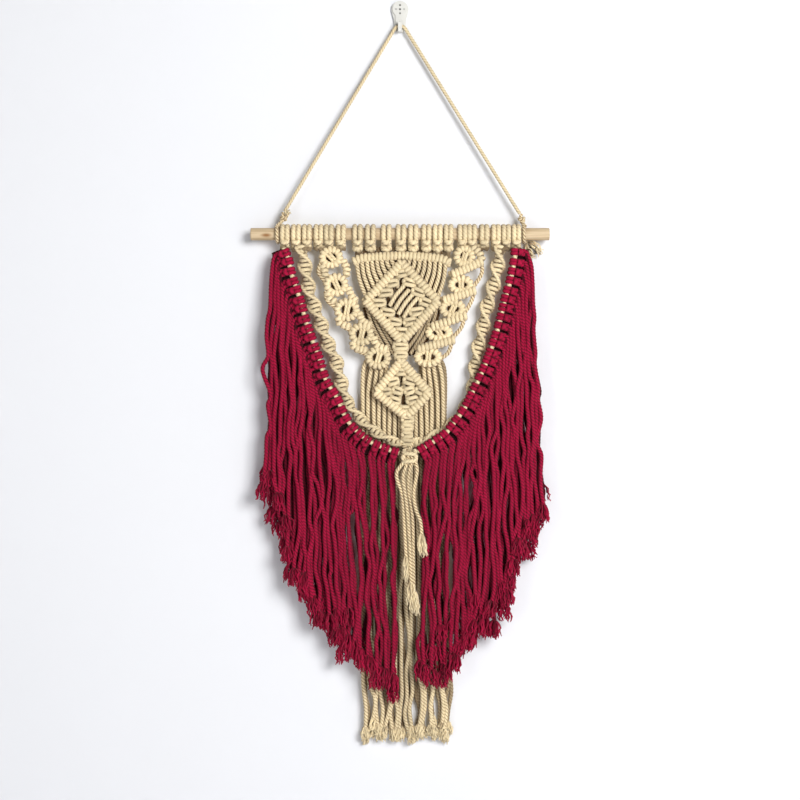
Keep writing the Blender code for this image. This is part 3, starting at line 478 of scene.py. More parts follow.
class Rope:
    """Gathers twisted cords and frayed ends, and makes one mesh of them."""

    SIDES = 6                      # three crowns and three grooves

    def __init__(self, context, seed):
        sizes = context.scene.hanging_sizes
        self.context = context
        self.thick = sizes.cord / MM / 2
        self.lay = sizes.lay / MM
        self.fray_length = sizes.fray / MM
        self.random = np.random.default_rng(seed)
        self.points, self.faces, self.ridge, self.tone, self.uv = [], [], [], [], []
        self.size = 0

    def add(self, rows, thick=None, step=0.85, tight=0.0, tone=None, shade_from=math.inf):
        """A cord of three plies along rows of x, drop, y: at each place a ring of six points, by turns at the
        radius and at the groove's share of it, turned by one full circle for each lay of the run. Shade is
        painted into its colour: in the grooves between the plies, on its sides, which lie against other
        cords, and on all of it below the drop shade_from. A tight cord, pulled flat in a knot, has shallower
        grooves with less painted shade. Painted shade from its tone counts only on its front: the back of a
        cord that lies behind others is in the open."""
        thick = thick or self.thick
        line = walk(rows, step=step)[:, :3]
        run = runs(line)
        side, up = carried_frames(unit(np.gradient(line, axis=0)))
        k = np.arange(self.SIDES)
        phase = self.random.uniform(0, 2 * math.pi)
        angle = phase - 2 * math.pi * run[:, None] / self.lay + 2 * math.pi * k / self.SIDES
        groove = GROOVE + (0.96 - GROOVE) * min(tight, 1.0)
        radius = thick * np.where(k % 2, groove, 1.0)[:, None]
        ring = line[:, None] + radius * (np.cos(angle)[..., None] * side[:, None]
                                         + np.sin(angle)[..., None] * up[:, None])
        quads = tube_faces(len(line), self.SIDES)
        caps = np.array([(3, 2, 1, 0), (5, 4, 3, 0)])
        faces = np.vstack([quads, caps, (len(line) - 1) * self.SIDES + caps[:, ::-1]])
        around = (quads[:, :1] % self.SIDES + (0, 1, 1, 0)) / self.SIDES
        uv = np.stack([run[quads // self.SIDES] / 50, around], axis=-1)
        uv = np.vstack([uv, np.zeros((4, 4, 2))])
        facing = (ring - line[:, None]) @ FRONT / thick
        turned_off = 1 - np.clip(np.abs(facing) / 0.7, 0.0, 1.0)
        # painted shade: the grooves and the cord's sides take the shade colour
        ridge = np.where(k % 2, 0.48 * tight, 1.0) * (1 - (0.5 + 0.28 * tight) * turned_off)
        tone = self.random.uniform(0.0, 1.0) if tone is None else tone
        # painted shade below the drop shade_from, and only on the cord's front
        tone = tone - 2.3 * np.clip((line[:, 1] - shade_from) / 3.0, 0.0, 1.0).repeat(self.SIDES)
        tone = tone + np.maximum(0.3 - tone, 0.0) * np.clip(-facing.ravel() / 0.5, 0.0, 1.0)
        self.take(ring, faces, uv, ridge, tone)
        return line

    def wound(self, rows, wrap, thick):
        """A tight cord wound round a line, with its wrap's pitch, reach and depth."""
        self.add(coil(rows, *wrap), thick, tight=1.0)

    def behind(self, rows, thick=None, tone=BEHIND):
        """A cord that is seen only between the ones in front of it, painted deep in their shade."""
        self.add(rows, thick, step=1.2, tone=tone)

    def head(self, first, second, ends, shade_from=TAILS):
        """A lark's head pressed flat on the dowel, with a route of rows after each of its two tails. Its
        tails are painted in shade below the drop shade_from.
        """
        local = larks_head((second - first) / 2, DOWEL_RADIUS + 0.6 * HEAD_CORD, HEAD_CORD, HEAD_SAG)
        rows = placed(local, ((first + second) / 2, DOWEL_DROP, DOWEL_Y), (1, 0, 0), (0, 1, 0))
        self.add(np.vstack([ends[0][::-1], rows, ends[1]]), HEADING, tight=0.75, shade_from=shade_from)

    def fray(self, end, way, count=22, spread=5.0, long=1.0):
        """A brush of untwisted yarns at a cut end: each leaves the cord's section, stands off by up to
        spread after the first two fifths of its length, and runs on beside the others in small waves."""
        taper = np.array([0.7, 0.86, 0.9, 0.9, 0.86, 0.78, 0.5])
        rings, sides = len(taper), 3
        way = unit(np.asarray(way, dtype=float))
        side = unit(np.cross(way, np.eye(3)[np.argmin(np.abs(way))]))
        up = np.cross(way, side)
        draw = self.random.uniform
        angle = draw(0, 2 * math.pi, count)
        reach = np.sqrt(draw(0.02, 1, count))[:, None, None]
        size = (self.fray_length * long * draw(0.78, 1.08, count))[:, None, None]
        share = np.linspace(0.0, 1.0, rings)[:, None]
        out = (np.cos(angle)[:, None] * side + np.sin(angle)[:, None] * up)[:, None]
        stand = np.sin(np.minimum(share / 0.42, 1.0) * math.pi / 2)
        waves = draw(1.2, 2.6, count)[:, None, None] * share + draw(0, 1, (count, 3))[:, None]
        line = (np.asarray(end, dtype=float) - way * 1.4 + out * reach * (self.thick * 0.7 + spread * stand)
                + way * share * size + np.sin(2 * math.pi * waves) * np.minimum(share * 2, 1)
                + self.random.normal(0, 0.6, (count, 3))[:, None] * share)
        tangent = unit(np.gradient(line, axis=1))
        a = unit(np.cross(tangent, out + 0.01))
        b = np.cross(tangent, a)
        corner = (2 * math.pi * np.arange(sides) / sides)[:, None]
        ring = line[:, :, None] + taper[:, None, None] * (np.cos(corner) * a[:, :, None]
                                                          + np.sin(corner) * b[:, :, None])
        one = np.vstack([tube_faces(rings, sides), (2, 1, 0, 0), (18, 19, 20, 20)])
        faces = (np.arange(count)[:, None, None] * rings * sides + one).reshape(-1, 4)
        # the yarns are darker at the root, painted shade where they crowd out of the cord, and each has a
        # random tone
        ridge = (np.linspace(0.5, 1.1, rings) * draw(0.45, 1.1, count)[:, None]).repeat(sides, axis=1)
        self.take(ring, faces, np.zeros((len(faces), 4, 2)), ridge, draw(0.4, 1.2))

    def take(self, points, faces, uv, ridge, tone):
        """Gathers one cord's points, faces and shading. Nothing of it goes into the wall."""
        points = points.reshape(-1, 3)
        points[:, 2] = np.minimum(points[:, 2], -WALL_GAP)
        self.points.append(points)
        self.faces.append(faces + self.size)
        self.uv.append(uv)
        self.ridge.append(ridge.ravel())
        self.tone.append(np.broadcast_to(tone, len(points)))
        self.size += len(points)

    def piece(self, name, finish, stands_for):
        """One mesh object of everything gathered, riding on the body, with its finish; the solid that it
        stands for is hidden. A face whose last two corners are the same point has three corners."""
        points, faces, uv = metres(np.vstack(self.points)), np.vstack(self.faces), np.vstack(self.uv)
        keep = np.ones(faces.shape, dtype=bool)
        keep[:, 3] = faces[:, 2] != faces[:, 3]
        starts = np.concatenate([[0], np.cumsum(keep.sum(1))[:-1]])
        mesh = bpy.data.meshes.new(name)
        mesh.vertices.add(len(points))
        mesh.vertices.foreach_set("co", points.astype(np.float32).ravel())
        mesh.loops.add(int(keep.sum()))
        mesh.loops.foreach_set("vertex_index", faces[keep].astype(np.int32))
        mesh.polygons.add(len(faces))
        mesh.polygons.foreach_set("loop_start", starts.astype(np.int32))
        mesh.polygons.foreach_set("use_smooth", np.ones(len(faces), dtype=bool))
        mesh.uv_layers.new(name="cord").data.foreach_set("uv", uv[keep].astype(np.float32).ravel())
        for key, values in (("ridge", self.ridge), ("tone", self.tone)):
            attribute = mesh.attributes.new(key, "FLOAT", "POINT")
            attribute.data.foreach_set("value", np.concatenate(values).astype(np.float32))
        mesh.update(calc_edges=True)
        material, slot = finish(self.context)
        mesh.materials.append(material)
        made = bpy.data.objects.new(name, mesh)
        self.context.scene.collection.objects.link(made)
        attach(made, "root")
        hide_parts(stands_for)
        return made


# ---------------------------------------------------------------- finishes

def node(tree, kind, inputs=(), **settings):
    """Adds a node with its settings. An input is a value, or the output that is linked into it."""
    made = tree.nodes.new(kind)
    for key, value in settings.items():
        setattr(made, key, value)
    for key, value in dict(inputs).items():
        if isinstance(value, bpy.types.NodeSocket):
            tree.links.new(value, made.inputs[key])
        else:
            made.inputs[key].default_value = value
    return made


def ranged(tree, value, low, high, to_low=0.0, to_high=1.0, kind="LINEAR"):
    """The value's span from low to high carried to the span from to_low to to_high, and held at its
    ends."""
    spans = {"Value": value, "From Min": low, "From Max": high, "To Min": to_low, "To Max": to_high}
    return node(tree, "ShaderNodeMapRange", spans, interpolation_type=kind).outputs["Result"]


def noise(tree, places, scale, detail, **more):
    """A fractal noise over the places."""
    inputs = {"Vector": places, "Scale": scale, "Detail": detail, **more}
    return node(tree, "ShaderNodeTexNoise", inputs).outputs["Fac"]


def multiplied(tree, first, second):
    """The product of two outputs."""
    return node(tree, "ShaderNodeMath", {0: first, 1: second}, operation="MULTIPLY").outputs[0]


def mixed(tree, share, first, second):
    """The first colour, turned into the second by the share."""
    inputs = {"Factor": share, "A": first, "B": second}
    return node(tree, "ShaderNodeMix", inputs, data_type="RGBA").outputs["Result"]


def object_places(tree, scale=None):
    """Places in the piece's own metres, stretched by the scale."""
    places = node(tree, "ShaderNodeTexCoord").outputs["Object"]
    if scale:
        places = node(tree, "ShaderNodeMapping", {"Vector": places, "Scale": scale}).outputs["Vector"]
    return places


def finish_named(name, **shader_values):
    """A Principled finish with its constants on the shader's own sockets; returns it, its tree and its
    shader."""
    made = bpy.data.materials.get(name) or bpy.data.materials.new(name)
    made.use_nodes = True
    tree = made.node_tree
    tree.nodes.clear()
    inputs = {key.replace("_", " "): value for key, value in shader_values.items()}
    shader = node(tree, "ShaderNodeBsdfPrincipled", inputs)
    node(tree, "ShaderNodeOutputMaterial", {"Surface": shader.outputs["BSDF"]})
    return made, tree, shader


def coloured(tree, shader, colour, height, strength, distance):
    """Links the base colour and a bump of the height into the shader."""
    bump = node(tree, "ShaderNodeBump", {"Height": height, "Strength": strength, "Distance": distance})
    tree.links.new(colour, shader.inputs["Base Color"])
    tree.links.new(bump.outputs["Normal"], shader.inputs["Normal"])


def cotton(name, crown, shade, sheen, groove):
    """Single-twist cotton cord: three soft plies, matt, with fine fibres along each ply. Shade is painted
    into
    its colour: the shade colour where the plies meet and on the cord's sides, and a darker, browner colour
    where its tone is below 0, on a cord that lies behind others. The fibres are about 0.03 mm in the real
    cord and are drawn 0.3 mm wide so that they show."""
    made, tree, shader = finish_named(name, Roughness=0.92, Specular_IOR_Level=0.18, Sheen_Weight=sheen,
                                      Sheen_Roughness=0.5)
    ridge, tone = (node(tree, "ShaderNodeAttribute", attribute_name=key).outputs["Fac"]
                   for key in ("ridge", "tone"))
    mottle = noise(tree, object_places(tree), 1 / 0.011, 2.0)
    # painted shade: the ridge shading and a tone below 0 turn the crown colour into the shade colour, and a
    # low tone darkens it too
    share = multiplied(tree, ranged(tree, ridge, 0.0, groove, kind="SMOOTHSTEP"),
                       ranged(tree, tone, BEHIND, -0.4, 0.06))
    value = multiplied(tree, ranged(tree, tone, BEHIND, 1.0, 0.36, 1.08),
                       ranged(tree, mottle, 0.3, 0.7, 0.93, 1.06))
    base = mixed(tree, share, (*shade, 1), (*crown, 1))
    colour = node(tree, "ShaderNodeHueSaturation", {"Color": base, "Value": value}).outputs["Color"]
    strip = node(tree, "ShaderNodeUVMap", uv_map="cord").outputs["UV"]
    stretch = node(tree, "ShaderNodeMapping", {"Vector": strip, "Scale": (40.0, 42.0, 1.0)}).outputs["Vector"]
    coloured(tree, shader, colour, noise(tree, stretch, 1.0, 3.0, Roughness=0.6), 0.5, 0.0003)
    return made


def pale_wood(pale, grain):
    """Birch-like dowel, turned and sanded: straight fine grain along its length and a small dark knot
    near the left end."""
    made, tree, shader = finish_named("sanded_birch_dowel", Roughness=0.62, Specular_IOR_Level=0.35)
    lines = noise(tree, object_places(tree, (14.0, 420.0, 420.0)), 1.0, 4.0, Distortion=0.6)
    base = mixed(tree, ranged(tree, lines, 0.35, 0.72), (*pale, 1), (*grain, 1))
    stretch = (1.0, 1.0, 2.6)
    inputs = {"Vector": object_places(tree), "Scale": stretch,
              "Location": [-place * by for place, by in zip(WOOD_KNOT, stretch)]}
    centre = node(tree, "ShaderNodeMapping", inputs).outputs["Vector"]
    away = node(tree, "ShaderNodeVectorMath", {0: centre}, operation="LENGTH").outputs["Value"]
    knot = mixed(tree, ranged(tree, away, 0.0075, 0.001, kind="SMOOTHSTEP"), base, srgb("#8C6236"))
    coloured(tree, shader, knot, lines, 0.35, 0.0002)
    return made


def white_plastic(colour):
    """Moulded ABS: nearly white, half glossy, with a faint ripple, and painted shade in the pin hollows:
    darkest in the middle one, darker in those above and below than in those at the sides.
    """
    made, tree, shader = finish_named("moulded_white_plastic", Roughness=0.32, IOR=1.52, Coat_Weight=0.1)
    places = object_places(tree)
    mottle = noise(tree, places, 1 / 0.004, 2.0)
    inputs = {"Color": (*colour, 1), "Value": ranged(tree, mottle, 0.0, 1.0, 0.97, 1.02)}
    shown = node(tree, "ShaderNodeHueSaturation", inputs).outputs["Color"]
    flat = node(tree, "ShaderNodeVectorMath", {0: places, 1: (1.0, 0.0, 1.0)},
                operation="MULTIPLY").outputs["Vector"]
    # painted shade in each hollow: a grey spot round its axis
    for across, up, hollow_shade in PIN_HOLLOW_SHADES:
        pin = ((PIN_X + PIN_OFFSET * across) * MM, 0.0, (DATUM - PIN_DROP + PIN_OFFSET * up) * MM)
        away = node(tree, "ShaderNodeVectorMath", {0: flat, 1: pin}, operation="DISTANCE").outputs["Value"]
        shown = mixed(tree, ranged(tree, away, 0.0013, 0.0007, kind="SMOOTHSTEP"), shown, srgb(hollow_shade))
    coloured(tree, shader, shown, mottle, 0.1, 0.0001)
    return made


def natural(context):
    """The unbleached cord's finish and its slot."""
    colours = context.scene.hanging_colours
    return cotton("natural_cotton_cord", colours.natural, colours.natural_painted_shade, 0.2, 0.6), "natural_cord"


def crimson(context):
    """The dyed cord's finish and its slot."""
    colours = context.scene.hanging_colours
    return cotton("crimson_cotton_cord", colours.crimson, colours.crimson_painted_shade, 0.03, 0.9), "red_cord"


# ---------------------------------------------------------------- operators, one for each piece or group

class HANGING_OT_hanging_cord(bpy.types.Operator):
    """Twisted cord from the left end knot over the hook to the right end knot"""

    bl_idname = "hanging.hanging_cord"
    bl_label = "Hanging cord"

    def execute(self, context):
        diameter = context.scene.hanging_sizes.hanging_cord
        left, right = np.array(CORD_ENDS["left"]), np.array(CORD_ENDS["right"])
        reach = math.pi / 2 - math.atan2(-left[0], left[1] - APEX_DROP)
        turn = np.linspace(-reach, reach, 9)
        bend = np.stack([APEX_RADIUS * np.sin(turn), APEX_DROP + APEX_RADIUS * (1 - np.cos(turn)),
                         np.full(9, CORD_Y)], axis=1)
        route = np.vstack([np.linspace(left, bend[0], 14)[:-1], bend, np.linspace(bend[-1], right, 14)[1:]])
        rope = Rope(context, 11)
        line = rope.add(route, diameter / MM / 2, step=0.8, tight=0.6, tone=0.1)
        piece = rope.piece("hanging_rope", natural, "hanging_cord")
        return {"FINISHED"}


class HANGING_OT_hanger_loops(bpy.types.Operator):
    """Knots and turns that tie the hanging cord to the dowel"""

    bl_idname = "hanging.hanger_loops"
    bl_label = "Hanger loops"

    def execute(self, context):
        thick = context.scene.hanging_sizes.hanging_cord / MM / 2
        for seed, side in enumerate(("left", "right"), 21):
            rope = Rope(context, seed)
            x, knot = LOOP_X[side], np.array(END_KNOTS[side])
            turn = np.radians(np.linspace(-150, 190, 15))
            radius = DOWEL_RADIUS + 0.35 + thick
            loop = np.stack([x + 0.9 * turn / math.pi, DOWEL_DROP + radius * np.cos(turn),
                             DOWEL_Y + radius * np.sin(turn)], axis=1)
            rope.add(np.vstack([knot + (0.5, 2.0, 0.5), loop, knot + (-0.8, 2.4, -0.6)]), thick)
            ring = np.radians(np.linspace(0, 400, 13))
            rope.add(np.stack([knot[0] + 2.3 * np.cos(ring), knot[1] + 1.6 * np.sin(ring) - 1.0 + ring * 0.45,
                               knot[2] - 2.4 * np.sin(ring)], axis=1), thick * 0.95)
            rope.add(knot + [(0, -5, 0.2), (-0.6, -1.0, 0.4), (0.4, 3.4, 0.0)], thick)
            if side == "left":
                tail = knot + [(1.5, 0.5, 0.0), (3.6, -1.0, -1.2), (4.2, -3.4, -1.4)]
                brush = (0.25, -1.0, 0.0), 10, 0.8, 0.26
            else:
                tail = np.array([x, DOWEL_DROP, DOWEL_Y]) + [(0.4, 6.0, 6.6), (5.0, 9.0, 7.0)]
                brush = (0.62, 0.78, 0.0), 30, 6.0, 0.9
            rope.add(tail, thick * 0.9)
            rope.fray(tail[-1], *brush)
            rope.piece(f"hanger_knot_{side}", natural, f"hanger_loop_{side}")
        return {"FINISHED"}


class HANGING_OT_spirals(bpy.types.Operator):
    """The two half-knot spirals, each hung from two lark's heads"""

    bl_idname = "hanging.spirals"
    bl_label = "Spirals"

    def execute(self, context):
        for seed, name in enumerate(SPIRALS, 31):
            rope = Rope(context, seed)
            rows = np.array(SPIRALS[name])
            inner = np.vstack([rows, SPIRAL_TIPS[name]]) - (0, 0, 0, 1.5)
            rungs, edges, core = half_knots(inner, HALF_KNOT_PITCH, math.radians(41))
            rope.add(rungs, rope.thick * 0.9, tight=1.0)
            for edge in edges:
                rope.add(edge, rope.thick * 0.84, tight=0.7)
            # the core, behind the knots, in painted shade
            rope.behind(core, rope.thick * 0.9)
            (x_top, _, y_top, _), (x_next, _, y_next, _) = rows[:2]
            for first, second in HEADS[name]:
                ends = [[(x_top + (x - x_top) * 0.34, TAILS_MEET, y_top + lift),
                         (x_next + (x - x_top) * 0.12, 258.0, y_next)]
                        for x, lift in ((second, -1.2), (first, 1.2))]
                rope.head(first, second, ends)
            rope.piece(f"half_knots_{name}", natural, name)
        return {"FINISHED"}


class HANGING_OT_ring_columns(bpy.types.Operator):
    """The side columns: wrapped rings with crossing cords, linking hitches, slanting bars and edge loops"""

    bl_idname = "hanging.ring_columns"
    bl_label = "Ring columns"

    def execute(self, context):
        for seed, name in enumerate(RINGS, 41):
            rope = Rope(context, seed)
            thin = rope.thick * 0.94
            rings = RINGS[name]
            for x, drop, half_width, half_height in rings:
                rope.add(ring_line(x, drop, half_width, half_height), RING_CORD, tight=1.1)
                across, down = leaning(rope.random.uniform(-0.9, 0.5))
                reach = half_height - 4.5
                for shift, high in ((-1.5, 0.4), (1.5, 1.6)):
                    line = [(1.4 * shift, -reach, -0.6), (0.8 * shift, 0.0, high), (1.2 * shift, reach, -0.6)]
                    rope.add(placed(line, (x + 0.3, drop, PANEL_Y), across, down), CROSSING_CORD, tight=0.7)
                # cords behind each ring, in painted shade
                for shift in (-3.6, 0.0, 3.6):
                    rope.behind([(x + shift, drop - half_height + 4, PANEL_Y + 3.6),
                                 (x + shift + 1.0, drop + half_height - 4, PANEL_Y + 3.6)], thin)
            if name.endswith("left"):
                for (x0, drop0, _, _), (x1, drop1, _, _) in zip(rings, rings[1:]):
                    inner = (x0 + 12.0, drop0 + 3.0), (x0 + 15.5, drop0 + 11.0), (x1 + 10.0, drop1 - 8.0)
                    outer = (x0 - 8.6, drop0 + 8.2), (x0 - 6.4, drop0 + 13.6), (x1 - 10.4, drop1 - 7.0)
                    rope.wound(at(inner, PANEL_Y), LINK_WRAP, thin)
                    rope.wound(at(outer, PANEL_Y + 0.8), LINK_WRAP, thin)
            else:
                rope.wound(at(RIGHT_LINK, PANEL_Y - 1.0), RIGHT_LINK_WRAP, thin)
                for band in BANDS:
                    rope.wound(at(band, PANEL_Y - 1.5), BAND_WRAP, thin)
            for loop in EDGE_LOOPS[name]:
                rope.add(at(loop, PANEL_Y + 0.6))
            x, drop, _, height = rings[0]
            for first, second in HEADS[name]:
                ends = [[(x + (end - x) * 0.8, drop - height + 1.0, PANEL_Y + 0.5),
                         (x + (end - x) * 0.55, drop - 3.0, PANEL_Y + 0.8)] for end in (second, first)]
                rope.head(first, second, ends)
            rope.piece(f"wrapped_{name}", natural, name)
        return {"FINISHED"}


class HANGING_OT_center_panel(bpy.types.Operator):
    """The middle panel: heading, bar of hitches, fanned cords, two diamonds of knots and a short sinnet"""

    bl_idname = "hanging.center_panel"
    bl_label = "Middle panel"

    def execute(self, context):
        rope = Rope(context, 51)
        self.heading(rope)
        for corners in (BIG_DIAMOND, SMALL_DIAMOND):
            self.diamond(rope, corners)
        self.fan(rope)
        # The knots lie a little behind the bars, and their random tone reaches below 0, into painted shade,
        # so that the bars stand out
        for knot in SQUARE_KNOTS:
            for line in reversed(square_knot(*knot, y=PANEL_Y + 0.4)):
                rope.add(line, rope.thick * 0.92, tight=1.0, tone=rope.random.uniform(-0.5, 0.5))
        for start, end in CENTRE_CORDS:
            middle = ((start[0] + end[0]) / 2 - 1.2, (start[1] + end[1]) / 2, PANEL_Y - 1.8)
            rope.add([(*start, PANEL_Y - 0.8), middle, (*end, PANEL_Y - 0.8)], tight=0.6)
        # these cords lie behind and are painted in shade
        for route in BEHIND_CORDS:
            rope.add(at(route, PANEL_Y + 2.4), 2.0, tight=0.2, tone=-0.9)
            for shift in (-2.2, 2.2):
                rope.behind([(x + shift, drop + 1.0, PANEL_Y + 6.2) for x, drop in route], 2.4)
        rope.add([(2.0, 441.0, PANEL_Y), (4.5, 447.0, PANEL_Y - 4.0), (10.5, 452.0, TASSEL_Y + 4)])
        rope.add([(13.0, 441.0, PANEL_Y), (11.0, 447.0, PANEL_Y - 3.0), (6.5, 452.0, TASSEL_Y + 5)])
        rope.piece("knotted_middle", natural, "center_panel")
        return {"FINISHED"}

    def heading(self, rope):
        """The horizontal bar, the heads above it and the crossings between them, painted in shade."""
        rope.wound(at(HORIZONTAL_BAR, PANEL_Y), BAR_WRAP, rope.thick * 0.92)
        heads = HEADS["center_panel"]
        for first, second in heads:
            ends = []
            for other, deep in ((first, 3.8), (second, -0.4)):
                foot = other * 0.94
                ends.append([((first + second) / 2, TAILS_MEET, PANEL_Y + deep),
                             (foot, np.interp(foot, *np.transpose(HORIZONTAL_BAR)), PANEL_Y + 1.4)])
            # here the tails get painted shade only from a little lower down
            rope.head(first, second, ends, TAILS + 4.5)
        for (_, left), (right, _) in zip(heads, heads[1:]):
            for start, end in ((left, right), (right, left)):
                rope.behind([(start, 245.0, PANEL_Y + 4.0), ((start + end) / 2, 250.0, PANEL_Y + 5.2),
                             (end * 0.97, 255.5, PANEL_Y + 3.5)], 2.1, -1.9)

    def diamond(self, rope, corners):
        """Four bars of hitches round a diamond, and the cords that lie behind its knots, painted in their
        shade.
        """
        sides = ("top", "left"), ("top", "right"), ("left", "bottom"), ("right", "bottom")
        for i, (a, b) in enumerate(sides):
            rope.wound(at((corners[a], corners[b]), PANEL_Y - 1.6 - 0.2 * i), DIAMOND_WRAP, 2.35)
        for x in np.arange(corners["left"][0] + 5, corners["right"][0] - 3, 4.3):
            high, low = (np.interp(x, *np.transpose([corners["left"], corners[key], corners["right"]]))
                         for key in ("top", "bottom"))
            rope.behind([(x, high, PANEL_Y + 3.8), (x + 0.5, low, PANEL_Y + 3.8)], rope.thick * 0.92)

    def fan(self, rope):
        """The cords that fan out from the horizontal bar to the big diamond's upper sides, each with a cord
        behind it in painted shade.
        """
        top = np.array(BIG_DIAMOND["top"])
        for side, bar_end in (("left", -45.0), ("right", 47.5)):
            corner = np.array(BIG_DIAMOND[side])
            outward = math.copysign(1.0, bar_end)
            for k in range(FAN_CORDS):
                share = (k + 0.3) / FAN_CORDS
                x_top = bar_end * (1 - 0.88 * share)
                foot = corner + (top - corner) * 0.95 * share
                start = (x_top, np.interp(x_top, *np.transpose(HORIZONTAL_BAR)), PANEL_Y + 0.6)
                bow = (x_top * 0.62 + foot[0] * 0.38 + outward, (start[1] + foot[1]) / 2, PANEL_Y)
                line = np.array([start, bow, (*foot, PANEL_Y + 0.4)])
                rope.add(line, tight=0.3)
                rope.behind(line + (-2.4 * outward, -1.0, 3.6), 2.6)


class HANGING_OT_garlands(bpy.types.Operator):
    """Red lark's heads on their natural carriers, and the red fringe that hangs from them"""

    bl_idname = "hanging.garlands"
    bl_label = "Garlands and red fringe"

    def execute(self, context):
        count = context.scene.hanging_sizes.red_knots
        for seed, name in enumerate(GARLANDS, 61):
            side = name.removeprefix("garland_")
            outward = -1.0 if side == "left" else 1.0
            carrier, knots, strands, under = (Rope(context, seed + shift) for shift in (0, 10, 20, 30))
            rows, hem = np.array(GARLANDS[name]), np.array(HEMS[name])
            carrier.add(rows - (0, 0, 1.3), carrier.thick * 1.08, tight=0.6, tone=0.6)
            _, out = directions(rows)
            # cords behind the red knots, in painted shade
            for shift in RED_BACKING:
                knots.behind(rows - outward * out * shift + (0.0, 0.0, 3.2))
            for first, second in HEADS[name]:
                ends = [[(rows[0][0] + lean, TAILS_MEET, rows[0][2] + 1.5)] for lean in (1.5, -1.5)]
                carrier.head(first, second, ends)
            line = walk(rows, count=2 * count + 1)
            tangent, out = directions(line)
            first_x, last_x = HANG_X[name]
            pitch = runs(line)[-1] / count
            for i in range(count):
                centre, along, off = line[2 * i + 1], tangent[2 * i + 1], -outward * out[2 * i + 1]
                local = larks_head(pitch * knots.random.uniform(0.18, 0.22), *RED_HEAD)
                head = placed(local, centre + along * knots.random.normal(0, 0.6), along, off)
                knots.add(head, knots.thick * 0.96, step=0.8, tight=1.35)
                middle = centre[0] + 0.6 * (first_x - rows[0][0]) * (1 - (i + 0.5) / count)
                middle += 0.4 * (first_x + (last_x - first_x) * (i + 0.5) / count - centre[0])
                strand(under, head[0] + (0, 0, 4.0), off, middle + outward * 1.5, UNDER, hem)
                for k, tail in ((0, head[0]), (1, head[-1])):
                    place = 2 * i + 1 - k
                    share = (place + 0.5) / (2 * count)
                    below = centre[0] + (first_x - rows[0][0]) * (1 - share)
                    hang = 0.6 * below + 0.4 * (first_x + (last_x - first_x) * share)
                    level = min(max((share - 0.5) / 0.3, 0.0), 1.0)
                    layer = [a + (b - a) * level for a, b in zip(LAYERS[place % len(LAYERS)], ONE_LAYER[k])]
                    strand(strands, tail, off, hang + strands.random.normal(0, 0.5), layer, hem)
            carrier.piece(f"carrier_{side}", natural, name)
            for rope, word in ((knots, "knots"), (strands, "fringe"), (under, "underlayer")):
                rope.piece(f"red_{word}_{side}", crimson, name)
        return {"FINISHED"}


def strand(rope, tail, out, hang, layer, hem):
    """One strand of the fringe: out of its knot, over the shoulder and down in soft waves to the hem."""
    depth, tone = layer
    hidden = layer is UNDER
    bottom = np.interp(hang, *hem.T) + rope.random.normal(5.0, 6.0) - rope.fray_length * 0.9
    bottom -= rope.random.exponential(10.0) + 8.0 * hidden
    shoulder = tail + out * 2.0 + (0.0, 3.0, 0.0)
    fall = bottom - shoulder[1]
    levels = np.append(np.arange(12.0, fall - 10.0, BEND_PITCH), fall)
    levels[1:-1] += rope.random.uniform(-4.5, 4.5, len(levels) - 2)
    reach = TURN_SHARE * (1 - np.exp(-levels / TURN)) + FALL_SHARE * np.clip(levels / FALL, 0, 1) ** 1.1
    common = 1.3 * np.sin(hang / 7.0 + levels / 19.0) + np.sin(hang / 4.3 - levels / 31.0)
    free = np.clip(levels / EASE, 0, 1)
    sway = (common + rope.random.normal(0, 1.25, len(levels))) * free
    x = shoulder[0] + (hang - shoulder[0]) * reach + sway
    y = shoulder[2] * (1 - free) + (depth + rope.random.normal(0, 0.8, len(levels))) * free
    rows = np.vstack([tail, shoulder, np.stack([x, shoulder[1] + levels, y], axis=1)])
    line = rope.add(rows, step=1.6 if hidden else 1.15, tight=0.45, tone=tone)
    rope.fray(line[-1], line[-1] - line[-6], count=10 if hidden else 22)


class HANGING_OT_back_fringe(bpy.types.Operator):
    """Natural cords that hang behind the middle"""

    bl_idname = "hanging.back_fringe"
    bl_label = "Back fringe"

    def execute(self, context):
        rope = Rope(context, 91)
        (first_x, _), (last_x, _) = BACK_STRIP[0], BACK_STRIP[-1]
        count = context.scene.hanging_sizes.back_cords
        levels = np.array([0.0, 0.15, 0.3, 0.44, 0.58, 0.7, 0.8, 0.88, 0.94, 1.0])
        looseness = (0, 0.4, 0.6, 0.8, 0.9, 1.1, 1.2, 1.3, 1.3, 1.0)
        for i in range(count):
            share = i / (count - 1)
            x = first_x + (last_x - first_x) * share
            top = np.interp(x, *np.transpose(BACK_STRIP)) + 6.0
            end_x = 6.5 + (x - 3.5) * 1.04 + rope.random.normal(0, 1.5)
            y = -6.2 + (2.0 if i % 2 else -2.0)
            bottom = BACK_BOTTOM + rope.random.normal(0, 4.0) - 5.0 * abs(share - 0.5)
            bottom -= 0.7 * rope.fray_length
            sway = rope.random.normal(0, 1.4, len(levels)) * looseness
            hung = np.stack([x + (end_x - x) * levels + sway, top + (bottom - top) * levels,
                             np.full(len(levels), y)], axis=1)
            root = (3.5 + (x - 3.5) * 0.84, 356.0 if abs(x - 3.5) > 18 else 374.0, y)
            # painted shade: the cords nearer the wall, and those near the middle, behind the red strands and
            # the tassel, take a tone below 0
            tone = (0.5, -1.3)[i % 2] - 0.8 * math.exp(-((x - 5.0) / 13.0) ** 2)
            line = rope.add(np.vstack([root, hung]), step=1.15, tight=0.3, tone=tone)
            rope.fray(line[-1], line[-1] - line[-6], spread=2.0, long=0.7)
        rope.piece("natural_fringe", natural, "back_fringe")
        return {"FINISHED"}


